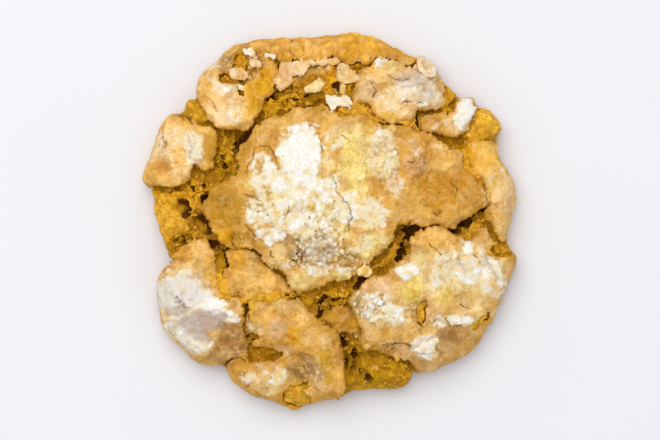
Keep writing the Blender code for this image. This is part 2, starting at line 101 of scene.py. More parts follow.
RIM = [
    (41.4, 5.0), (40.0, 10.0), (37.4, 14.6), (37.3, 18.5), (38.1, 20.3), (35.3, 24.0), (32.4, 25.2),
    (31.6, 27.0), (28.4, 27.4), (26.2, 29.2), (24.8, 31.2), (23.2, 33.8), (18.8, 36.0), (15.0, 38.1),
    (10.5, 40.3), (5.0, 41.5), (0.0, 40.8), (-8.0, 40.4), (-15.0, 40.0), (-20.3, 39.0), (-23.4, 37.4),
    (-25.2, 35.1), (-28.2, 32.5), (-29.6, 29.5), (-29.7, 27.1), (-31.8, 26.2), (-32.8, 23.7),
    (-35.4, 23.1), (-37.6, 20.6), (-38.9, 16.4), (-40.8, 12.0), (-41.4, 9.0), (-39.2, 5.7),
    (-38.7, 1.0), (-37.2, -4.0), (-36.5, -6.0), (-35.6, -9.2), (-37.8, -12.6), (-38.0, -16.3),
    (-37.5, -20.5), (-36.4, -25.0), (-32.6, -28.9), (-29.2, -32.1), (-23.6, -32.7), (-21.8, -35.7),
    (-17.5, -38.7), (-12.0, -40.6), (-7.8, -41.7), (-2.5, -40.6), (2.6, -39.2), (6.8, -37.6),
    (14.5, -37.6), (17.2, -36.6), (19.2, -34.3), (24.5, -33.2), (30.0, -30.4), (34.2, -26.5),
    (37.0, -20.0), (39.6, -14.0), (41.5, -8.7), (39.3, -5.0), (40.2, -0.5),
]

# name: (kind, level above the dome, outline)
LOBES = {
    "middle": (CRUST, 0.0, [
        (-20.0, 15.5), (-17.3, 19.2), (-14.6, 21.5), (-10.6, 22.8), (-6.5, 24.8), (-1.0, 25.2),
        (3.0, 22.6), (7.5, 23.1), (11.3, 21.0), (16.5, 20.6), (20.5, 19.3), (24.4, 17.5), (26.5, 15.6),
        (29.5, 14.8), (29.6, 11.3), (32.6, 8.9), (34.7, 6.0), (34.6, 3.1), (31.4, 0.9), (27.3, -2.3),
        (23.3, -0.9), (20.8, -1.5), (15.6, -0.7), (13.9, -4.2), (11.2, -7.4), (6.6, -10.8),
        (4.2, -13.4), (-0.2, -13.4), (-2.7, -15.4), (-8.2, -15.6), (-10.0, -12.5), (-14.5, -9.2),
        (-16.5, -6.5), (-23.3, -6.0), (-25.6, -3.2), (-28.0, 2.2), (-26.4, 6.2), (-22.6, 8.6),
        (-20.2, 10.2)]),
    "upper_left": (CRUST, -0.3, [
        (-33.5, 28.5), (-29.6, 27.2), (-26.8, 23.2), (-24.9, 20.3), (-18.3, 20.1), (-15.6, 23.3),
        (-14.4, 26.8), (-12.3, 28.6), (-11.4, 32.5), (-12.4, 36.0), (-17.0, 37.6), (-21.5, 41.5),
        (-28.0, 38.5), (-33.0, 33.0)]),
    "top": (CRUST, -0.6, [
        (-25.0, 41.0), (-20.5, 38.2), (-14.0, 37.4), (-11.6, 34.8), (-8.3, 36.0), (-3.2, 35.2),
        (0.8, 36.4), (2.2, 34.8), (6.2, 33.4), (9.4, 35.0), (10.6, 37.0), (14.8, 36.9), (18.2, 34.6),
        (21.5, 38.0), (14.0, 44.0), (5.0, 46.0), (-12.0, 45.0)]),
    "top_flakes": (CRUMB, -1.4, [
        (-11.2, 30.0), (-10.6, 34.6), (-7.6, 35.8), (-3.0, 34.9), (1.0, 35.9), (2.4, 34.2), (6.0, 32.8),
        (5.0, 29.5), (4.6, 26.0), (0.0, 26.6), (-4.6, 27.8), (-7.0, 29.4)]),
    "upper_right": (CRUST, -0.3, [
        (6.4, 32.8), (9.6, 35.0), (12.0, 36.2), (18.2, 34.3), (20.0, 39.0), (26.0, 37.0), (29.0, 33.0),
        (25.2, 29.6), (24.8, 25.0), (19.6, 23.9), (18.0, 21.8), (13.0, 21.2), (9.6, 23.0), (8.6, 25.3),
        (5.0, 26.0), (5.6, 30.0)]),
    "upper_right_crumb": (CRUMB, -1.6, [
        (25.0, 24.8), (25.4, 29.5), (29.0, 32.0), (31.0, 30.0), (28.2, 27.0), (28.0, 24.4)]),
    "right_small": (CRUST, -0.5, [
        (20.2, 22.4), (22.4, 23.4), (28.2, 24.2), (28.4, 27.0), (30.0, 31.0), (35.0, 28.0),
        (32.2, 24.8), (31.2, 21.2), (29.4, 18.7), (24.0, 18.9), (20.4, 20.2)]),
    "right_crumb": (CRUMB, -1.8, [
        (32.5, 25.4), (36.5, 28.0), (42.0, 23.0), (41.0, 18.0), (36.6, 17.2), (29.8, 17.0),
        (30.4, 19.3), (32.2, 22.4)]),
    "right": (CRUST, -0.5, [
        (31.2, 17.2), (35.6, 17.6), (40.0, 17.0), (44.0, 12.0), (46.0, 4.0), (44.0, -4.5),
        (38.4, -4.6), (36.8, -1.4), (34.6, 0.6), (35.3, 4.4), (33.6, 8.6), (31.4, 11.0)]),
    "right_nub": (CRUMB, -1.4, [
        (36.6, -5.0), (39.2, -4.8), (44.5, -6.5), (41.0, -7.8), (37.4, -8.3), (36.3, -6.8)]),
    "lower_right": (CRUST, -0.2, [
        (17.9, -4.4), (19.6, -2.6), (23.4, -1.4), (26.0, -2.3), (29.0, -4.6), (32.2, -3.8),
        (33.8, -1.1), (35.8, -1.2), (36.4, -4.6), (36.3, -6.6), (37.4, -8.5), (41.0, -7.9),
        (46.0, -9.0), (44.0, -18.0), (39.5, -27.0), (33.0, -34.0), (25.5, -37.0), (20.0, -36.5),
        (18.6, -32.2), (14.4, -30.8), (10.5, -29.2), (7.4, -28.6), (6.8, -24.0), (4.2, -18.2),
        (6.2, -15.3), (8.2, -12.9), (12.0, -12.0), (15.5, -8.6), (17.2, -7.6)]),
    "notch": (CRUST, -1.6, [
        (-0.6, -20.8), (2.4, -19.3), (5.0, -20.2), (6.8, -23.5), (7.4, -27.4), (4.6, -25.7),
        (1.8, -25.3), (-1.8, -22.4)]),
    "bottom_crumb": (CRUMB, -2.6, [
        (3.2, -26.2), (6.6, -27.2), (7.8, -29.4), (12.0, -30.2), (18.2, -32.2), (20.0, -37.5),
        (14.0, -42.0), (4.0, -42.0), (4.4, -35.5), (5.6, -31.5), (3.6, -29.0)]),
    "bottom": (CRUST, -0.7, [
        (-18.2, -20.5), (-17.6, -18.2), (-13.0, -17.2), (-8.6, -17.3), (-5.4, -19.6), (-2.4, -22.6),
        (0.9, -24.6), (2.8, -29.2), (3.6, -35.2), (1.6, -39.0), (3.0, -43.5), (-8.0, -46.0),
        (-20.0, -43.0), (-26.5, -37.0), (-23.4, -32.9), (-20.6, -31.3), (-18.1, -32.0),
        (-11.0, -30.8), (-12.0, -29.0), (-18.0, -27.8), (-18.8, -25.0)]),
    "lower_left": (CRUST, -0.4, [
        (-43.0, -11.0), (-38.2, -11.9), (-34.6, -8.8), (-31.6, -5.6), (-28.6, -4.5), (-26.3, -6.3),
        (-24.8, -12.2), (-23.5, -17.0), (-20.2, -17.3), (-18.6, -19.6), (-19.4, -24.0),
        (-18.4, -27.5), (-18.3, -31.7), (-20.8, -31.0), (-23.7, -32.6), (-25.0, -37.0),
        (-33.0, -35.0), (-40.5, -28.0), (-43.0, -19.0)]),
    "inner_left": (CRUST, -0.9, [
        (-23.2, -7.4), (-21.2, -6.3), (-17.0, -7.2), (-13.3, -10.8), (-10.2, -13.2), (-8.4, -16.4),
        (-13.0, -16.9), (-18.2, -18.2), (-20.2, -17.0), (-23.6, -16.6), (-24.6, -12.4),
        (-22.6, -10.8)]),
    "lower_left_nub": (CRUMB, -3.0, [
        (-42.0, -4.8), (-35.3, -4.2), (-33.6, -6.6), (-35.6, -9.8), (-41.0, -9.5)]),
    "left_crumb": (CRUMB, -2.0, [
        (-44.0, 5.5), (-38.0, 6.5), (-32.2, 7.2), (-30.2, 10.3), (-28.2, 8.8), (-28.7, 2.2),
        (-31.4, 0.2), (-29.2, -2.0), (-29.2, -4.4), (-33.2, -4.0), (-38.0, -4.8), (-43.0, -4.0)]),
    "left": (CRUST, -0.4, [
        (-36.0, 27.0), (-33.6, 22.9), (-29.6, 21.3), (-25.6, 20.2), (-25.1, 15.0), (-27.0, 11.2),
        (-30.2, 12.0), (-31.4, 8.6), (-34.4, 7.2), (-38.4, 7.4), (-42.5, 6.5), (-46.0, 9.0),
        (-43.0, 17.0), (-41.0, 23.0)]),
    "upper_left_nub": (CRUMB, -2.2, [
        (-33.5, 29.5), (-33.4, 24.0), (-29.6, 21.8), (-27.4, 22.4), (-29.4, 26.0), (-30.2, 28.5)]),
    "north_floor": (FLOOR, -1.0, [
        (3.2, 26.0), (7.6, 26.6), (9.4, 23.8), (13.0, 22.0), (17.8, 22.6), (20.4, 22.0), (20.4, 19.6),
        (16.5, 20.0), (11.3, 20.4), (7.5, 22.4), (3.0, 22.2), (0.6, 24.6)]),
    "inner_floor": (FLOOR, -1.0, [
        (-20.6, -17.4), (-18.2, -16.6), (-13.0, -15.4), (-9.4, -15.4), (-8.6, -17.6), (-13.0, -18.4),
        (-18.0, -19.4)]),
    "left_floor": (FLOOR, -0.9, [
        (-25.6, -12.2), (-22.6, -12.0), (-21.6, -17.0), (-18.8, -18.4), (-20.2, -19.4), (-24.6, -18.0)]),
    "right_floor": (FLOOR, -0.9, [
        (28.6, 16.6), (31.6, 17.2), (32.4, 11.4), (34.8, 7.6), (36.2, 4.6), (35.2, 2.6), (33.4, 5.6),
        (30.6, 9.4), (28.8, 12.0)]),
    "east_crumb": (CRUMB, -1.8, [
        (29.0, -3.2), (31.2, -1.4), (33.6, 0.2), (35.4, -0.6), (34.6, -2.6), (32.4, -4.2), (29.6, -4.8)]),
    "south_crumb": (CRUMB, -2.2, [
        (-7.6, -16.4), (-2.6, -15.6), (4.0, -14.2), (8.0, -12.2), (6.2, -15.6), (4.2, -18.6),
        (0.2, -19.6), (-2.2, -22.4), (-5.2, -19.4)]),
    "southeast_crumb": (CRUMB, -2.0, [
        (8.2, -11.4), (11.4, -8.4), (14.4, -5.0), (15.6, -1.4), (17.2, -3.4), (15.8, -7.6),
        (12.4, -11.0), (9.0, -12.6)]),
    "northwest_crumb": (CRUMB, -2.2, [
        (-25.0, 11.0), (-21.6, 9.4), (-20.6, 12.0), (-21.6, 17.4), (-24.6, 19.6)]),
    "north_crumb": (CRUMB, -1.8, [
        (-14.8, 26.4), (-11.0, 27.6), (-7.2, 28.4), (-3.6, 27.6), (-6.4, 25.2), (-11.4, 23.4),
        (-15.2, 21.6)]),
}

# Places torn deeper than the rest: (x, y, radius, depth)
PITS = [
    (-17.2, -26.3, 1.6, 1.5), (-7.2, -38.6, 3.2, 1.8), (-21.0, 33.0, 3.2, 1.2), (-4.6, 31.4, 2.8, 1.0),
    (20.3, -20.0, 1.6, 0.8), (33.2, -23.4, 1.5, 0.8), (-32.3, 2.6, 1.2, 1.6), (-18.4, 19.2, 2.2, 2.0),
    (-4.0, 26.0, 2.4, 1.4), (-29.0, -0.8, 2.2, 1.4), (17.4, -3.6, 2.4, 2.2), (28.4, -1.8, 1.6, 1.4),
    (-1.2, -19.2, 1.8, 1.6), (2.6, -27.0, 1.6, 1.6), (5.0, -33.2, 1.5, 1.4),
]

# Holes in the crust where crumb shows: (x, y, across, up, turn, depth)
WINDOWS = [
    (-15.2, -29.8, 3.3, 1.5, 0, 1.4), (-17.3, -26.1, 1.7, 1.0, 15, 1.2),
    (-7.2, -40.2, 3.2, 2.2, -5, 0.45), (-6.5, -37.4, 1.2, 0.6, 30, 1.3),
    (-20.2, 34.9, 1.5, 2.3, -15, 0.6), (-22.0, 31.2, 2.0, 1.1, 15, 0.6), (20.1, -20.0, 1.1, 2.9, -5, 0.6),
    (33.6, -22.8, 0.9, 2.6, -35, 0.6), (-19.4, 28.8, 0.7, 1.9, 10, 0.6), (6.2, 34.0, 1.8, 0.5, 10, 1.0),
    (-24.6, -10.4, 0.5, 1.7, 5, 0.9),
]

# Narrow gaps that go deep into the crumb and are painted dark, as painted shade: (half width, route)
GAPS = [
    (0.8, [(-20.4, 15.0), (-20.5, 16.6), (-19.6, 18.6), (-18.2, 19.4)]),
    (0.5, [(-24.6, 14.0), (-23.4, 12.0)]),
    (0.22, [(-10.5, 25.9), (-8.0, 27.2), (-5.0, 26.3), (-3.5, 25.7)]),
    (0.3, [(-5.2, 28.4), (-4.9, 26.6)]), (0.3, [(-14.0, 27.3), (-12.4, 27.8), (-12.4, 29.2)]),
    (0.3, [(-11.6, 31.0), (-11.1, 32.4), (-11.4, 34.6)]),
    (0.6, [(13.4, 21.1), (14.4, 20.7), (15.2, 20.6)]), (0.3, [(11.2, 21.1), (11.7, 21.1)]),
    (0.45, [(19.7, 23.2), (19.6, 21.6), (20.4, 19.9)]), (0.4, [(1.4, 29.9), (2.0, 29.0)]),
    (0.6, [(-32.5, 4.0), (-32.2, 2.6), (-31.6, 1.0)]), (0.4, [(-31.2, 7.2), (-30.6, 6.6)]),
    (0.4, [(-28.6, 8.0), (-28.2, 7.2)]), (0.4, [(-28.5, 4.9), (-28.1, 4.0)]),
    (0.8, [(-29.8, 0.4), (-28.8, -0.6), (-27.4, -1.6), (-27.0, -3.2)]),
    (0.6, [(-26.8, -4.6), (-26.2, -5.8), (-24.2, -6.8)]),
    (0.35, [(-23.6, -7.4), (-23.1, -9.0), (-22.9, -11.4)]),
    (0.35, [(-35.6, -4.4), (-34.0, -4.6), (-33.2, -5.8)]), (0.35, [(-31.9, -5.2), (-31.7, -6.2)]),
    (0.35, [(-33.1, -7.0), (-34.8, -9.2)]), (0.9, [(20.6, -1.9), (18.8, -1.6), (18.0, -3.0)]),
    (0.8, [(17.8, -3.2), (17.2, -5.0), (16.4, -7.2), (15.6, -8.8)]),
    (0.5, [(-0.5, -17.0), (-1.5, -19.5), (-2.5, -21.5)]), (0.4, [(0.0, -18.0), (3.0, -18.2)]),
    (0.6, [(5.6, -14.8), (7.4, -13.2)]), (0.35, [(-9.2, -16.4), (-7.6, -17.6)]),
    (0.5, [(27.0, -2.8), (28.3, -2.5), (29.2, -1.2), (30.6, -0.6), (32.0, 0.8), (32.6, 2.2),
     (34.3, 2.8)]), (0.8, [(1.6, -26.0), (2.9, -28.5)]), (0.35, [(5.3, -30.0), (5.4, -34.3)]),
    (0.4, [(4.1, -33.6), (4.3, -34.2)]), (0.4, [(8.2, -36.0), (8.8, -36.2)]),
    (0.35, [(6.6, -34.8), (7.0, -35.2)]),
    (0.3, [(-18.6, -19.0), (-18.4, -21.0), (-17.8, -22.0), (-16.2, -22.1)]),
    (0.3, [(-17.9, -28.0), (-16.9, -28.4)]),
]
GAP_DEPTH = 1.6

# Where the crust is broken up into small lumps: (x, y, across, up, turn, amount)
BROKEN = [
    (-2.5, -6.5, 6.5, 4.4, 0, 1.0), (8.0, -18.5, 4.2, 3.6, 0, 1.0), (12.0, 14.0, 3.0, 6.0, 0, 0.5),
    (-15.5, 3.0, 3.2, 5.5, 0, 0.4), (18.6, 12.0, 2.4, 2.6, 0, 0.5), (-19.0, 34.0, 4.6, 3.6, 0, 1.2),
    (11.0, -27.4, 5.0, 1.6, -10, 0.6), (-2.5, 1.5, 6.0, 4.0, 0, 0.45), (7.0, -11.0, 2.5, 1.6, 30, 0.7),
    (-5.0, -34.0, 3.5, 3.0, 0, 0.4), (21.0, 31.5, 2.6, 2.4, 0, 0.6), (19.6, -20.2, 3.2, 4.2, 0, 0.5),
    (4.0, -9.0, 3.0, 2.4, 0, 0.7), (-19.5, -4.0, 3.5, 1.6, 0, 0.4),
]

# Places where the sugar is thin: (x, y, across, up, turn, amount)
THIN_SUGAR = [
    (-3.6, 4.8, 1.1, 2.8, -20, 0.6), (-11.5, 5.2, 2.4, 0.9, 0, 0.6), (-5.0, 10.6, 1.5, 0.6, 30, 0.6),
    (-2.4, 9.6, 0.9, 0.8, 0, 0.6), (-0.2, 3.0, 1.0, 1.7, 0, 0.5), (-8.8, 8.6, 0.9, 0.5, 0, 0.6),
    (-1.6, 0.6, 2.0, 0.8, 30, 0.6), (-13.8, 6.6, 1.6, 1.0, 20, 0.5), (-16.2, 2.6, 1.3, 0.8, 0, 0.5),
    (-7.6, 2.4, 1.5, 0.9, 0, 0.4), (-5.4, -1.4, 1.6, 0.8, -20, 0.6), (-11.0, 1.0, 1.3, 0.8, 30, 0.5),
    (2.6, 5.6, 1.3, 0.9, 40, 0.5), (-6.0, 6.6, 1.3, 0.6, 0, 0.5), (-15.2, 11.6, 0.9, 1.9, -20, 0.6),
    (-9.0, 12.0, 0.5, 0.8, 0, 0.4), (1.0, -0.6, 1.2, 1.4, 0, 0.5), (-12.8, -1.2, 1.4, 0.8, 0, 0.6),
    (33.0, -9.0, 0.9, 1.8, 20, 0.5), (36.0, -14.0, 0.8, 1.8, 0, 0.5), (-33.6, -12.4, 1.6, 0.6, -30, 0.3),
    (10.6, -20.4, 1.5, 0.7, 20, 0.6), (7.6, -18.4, 0.8, 1.2, 0, 0.5), (12.4, -17.6, 1.0, 0.6, 0, 0.5),
]

# Grey painted shade on the sugar: (x, y, across, up, turn, strength)
GREY_SHADE_PATCHES = [
    (-28.0, -21.8, 4.8, 2.2, -14, 0.9), (-24.2, -21.4, 2.2, 1.1, 20, 0.95),
    (-32.6, -19.8, 2.4, 1.4, -20, 0.7), (-35.4, -15.6, 0.9, 3.2, 8, 0.5),
    (-31.4, -28.6, 3.0, 0.8, -35, 0.5), (18.0, 30.5, 4.0, 1.6, 0, 0.5),
    (-30.4, -13.4, 2.2, 0.7, -20, 0.35), (-29.2, -24.6, 3.0, 1.1, -35, 0.7),
    (-34.2, -22.8, 1.0, 1.6, 0, 0.4), (-31.8, -16.0, 6.0, 5.0, 0, 0.38), (20.5, 27.0, 3.0, 1.8, 0, 0.35),
    (-2.8, -6.8, 4.4, 3.2, 0, 0.45), (-7.2, 2.2, 1.6, 1.2, 0, 0.35), (30.0, -17.8, 4.0, 1.2, -10, 0.2),
    (-28.0, -14.6, 1.2, 0.8, 30, 0.35), (20.2, -28.2, 2.0, 0.8, 20, 0.5),
]

# Creases pressed into the crust
CREASES = [
    [(-35.0, -16.6), (-34.0, -17.4), (-33.2, -18.0)], [(-33.6, -19.4), (-33.0, -21.2), (-32.0, -20.4)],
    [(-31.4, -22.2), (-30.0, -24.2), (-28.4, -26.0), (-26.6, -27.2)],
    [(-28.2, -21.6), (-26.4, -21.4), (-25.0, -22.0)], [(-26.4, -20.6), (-24.4, -20.0), (-22.6, -21.4)],
    [(-31.6, -12.8), (-29.4, -12.6), (-28.2, -11.8)], [(-30.8, -17.5), (-29.8, -17.6)],
    [(-32.4, -15.8), (-32.0, -17.2)], [(-33.0, -22.6), (-32.0, -24.0)], [(-25.8, -13.4), (-25.6, -15.4)],
    [(-29.8, -25.0), (-27.6, -25.4), (-25.6, -26.8)], [(-22.0, -24.6), (-20.4, -26.8)],
    [(14.0, 29.8), (16.4, 28.8), (19.6, 29.6)], [(16.6, 33.0), (17.2, 30.6)],
    [(21.0, 28.8), (22.6, 27.2)], [(-31.0, 18.2), (-30.2, 15.4), (-30.8, 13.2)],
    [(28.0, -8.6), (29.6, -11.6)], [(33.8, -8.0), (35.4, -10.2), (36.4, -13.2)],
    [(24.0, -12.6), (26.0, -15.0)], [(-13.0, -20.0), (-9.4, -21.6)],
    [(-12.0, -24.4), (-7.6, -26.6), (-4.4, -29.0)], [(18.0, 8.8), (21.8, 10.4), (26.0, 9.6)],
    [(14.6, 18.6), (17.6, 16.4), (20.0, 16.8)], [(-16.6, 18.6), (-13.0, 20.4)],
    [(-24.6, 4.4), (-21.6, 1.8), (-22.4, -1.8)],
]

# Ledges inside the plates, where a layer of crust lies higher or lower: (step, outline)
LEDGES = [
    (0.4, [(-12.2, 10.5), (-11.6, 16.5), (-9.6, 20.2), (-4.8, 21.4), (-2.2, 18.6), (-1.6, 11.4),
           (-4.2, 9.2), (-8.4, 10.4)]),
    (0.25, [(1.4, 15.8), (4.4, 18.4), (9.2, 18.0), (9.8, 12.0), (8.6, 6.2), (5.6, 4.6), (2.8, 7.6)]),
    (0.3, [(-14.2, 3.4), (-10.8, 8.0), (-4.0, 8.8), (0.2, 7.8), (3.0, 3.6), (4.2, -1.0), (0.6, -3.6),
           (-5.2, -1.6), (-11.0, -2.2)]),
    (-0.45, [(17.6, 7.6), (21.6, 9.8), (27.4, 9.0), (31.4, 5.4), (29.0, 1.6), (22.0, 1.2), (18.0, 3.2)]),
    (-0.35, [(-12.0, -3.2), (-8.2, -2.8), (-6.6, -7.6), (-9.6, -8.6), (-12.6, -6.4)]),
    (0.3, [(5.4, -3.4), (9.6, -2.0), (12.6, -4.2), (9.4, -8.0), (6.0, -8.6)]),
    (-0.7, [(23.0, -22.0), (26.4, -23.2), (29.6, -23.6), (34.2, -22.8), (38.0, -27.0), (30.0, -38.0),
            (24.0, -38.0), (24.2, -28.4)]),
    (-0.6, [(9.0, -28.2), (12.4, -27.4), (16.2, -26.9), (18.4, -28.6), (19.0, -36.0), (9.0, -36.0)]),
    (0.35, [(14.8, -12.2), (19.4, -11.6), (22.8, -14.4), (21.2, -19.0), (16.0, -19.4), (14.4, -16.0)]),
    (0.4, [(28.8, -9.0), (32.0, -7.2), (36.8, -8.8), (37.6, -14.0), (33.0, -17.4), (28.0, -15.0)]),
    (-0.4, [(27.6, -16.0), (32.8, -16.2), (33.6, -19.0), (28.2, -19.4)]),
    (0.3, [(6.4, -16.4), (10.4, -14.8), (15.2, -18.2), (15.8, -22.8), (11.0, -23.8), (7.6, -21.4)]),
    (0.35, [(-37.0, -11.6), (-32.0, -9.8), (-27.2, -12.6), (-25.6, -18.2), (-19.6, -21.4),
            (-24.0, -23.6), (-29.4, -22.4), (-33.4, -26.4), (-38.4, -22.0)]),
    (-0.7, [(-33.8, -17.6), (-32.6, -17.2), (-31.8, -18.4), (-32.8, -19.2)]),
    (-0.55, [(-24.4, -22.6), (-22.8, -22.4), (-21.4, -23.2), (-20.2, -23.0), (-18.8, -22.2),
             (-18.0, -26.0), (-18.4, -31.2), (-23.6, -32.6), (-25.4, -29.5), (-24.6, -26.0)]),
    (-0.7, [(-23.8, 36.6), (-21.6, 38.6), (-13.6, 37.8), (-12.8, 35.4), (-15.4, 32.8), (-18.4, 30.0),
            (-22.8, 31.0)]),
    (-0.5, [(-14.8, 32.0), (-12.2, 31.0), (-13.4, 27.0), (-15.6, 24.2), (-17.0, 27.6)]),
    (0.3, [(12.6, 31.6), (17.6, 33.2), (22.8, 30.6), (23.4, 26.4), (18.6, 24.4), (13.4, 26.4)]),
    (-0.4, [(-38.8, 13.4), (-35.4, 13.6), (-34.8, 10.2), (-38.4, 9.4)]),
    (0.35, [(-32.0, 19.4), (-28.2, 19.2), (-27.0, 14.2), (-29.8, 13.2), (-32.6, 15.4)]),
    (-0.5, [(-9.4, -30.4), (-4.6, -29.6), (-2.8, -34.0), (-6.2, -37.2), (-10.4, -35.4)]),
    (0.3, [(-14.6, -32.4), (-10.2, -31.8), (-9.4, -35.4), (-14.0, -36.6)]),
    (-0.5, [(-16.8, -18.0), (-8.6, -18.8), (-9.6, -21.2), (-16.4, -21.6)]),
]

# Base colour of each plate
PLATE_COLOURS = {
    "middle": "tan", "upper_left": "light_tan", "top": "bright_gold", "upper_right": "beige",
    "right_small": "tan", "right": "light_tan", "lower_right": "beige", "notch": "olive", "bottom": "tan",
    "lower_left": "beige", "inner_left": "light_tan", "left": "light_tan",
}

# Plates that are more of a bare ridge of dough than a crust, and how lumpy they are
DOUGHY = {"top": 1.0, "notch": 0.8, "inner_left": 0.25, "right": 0.15}

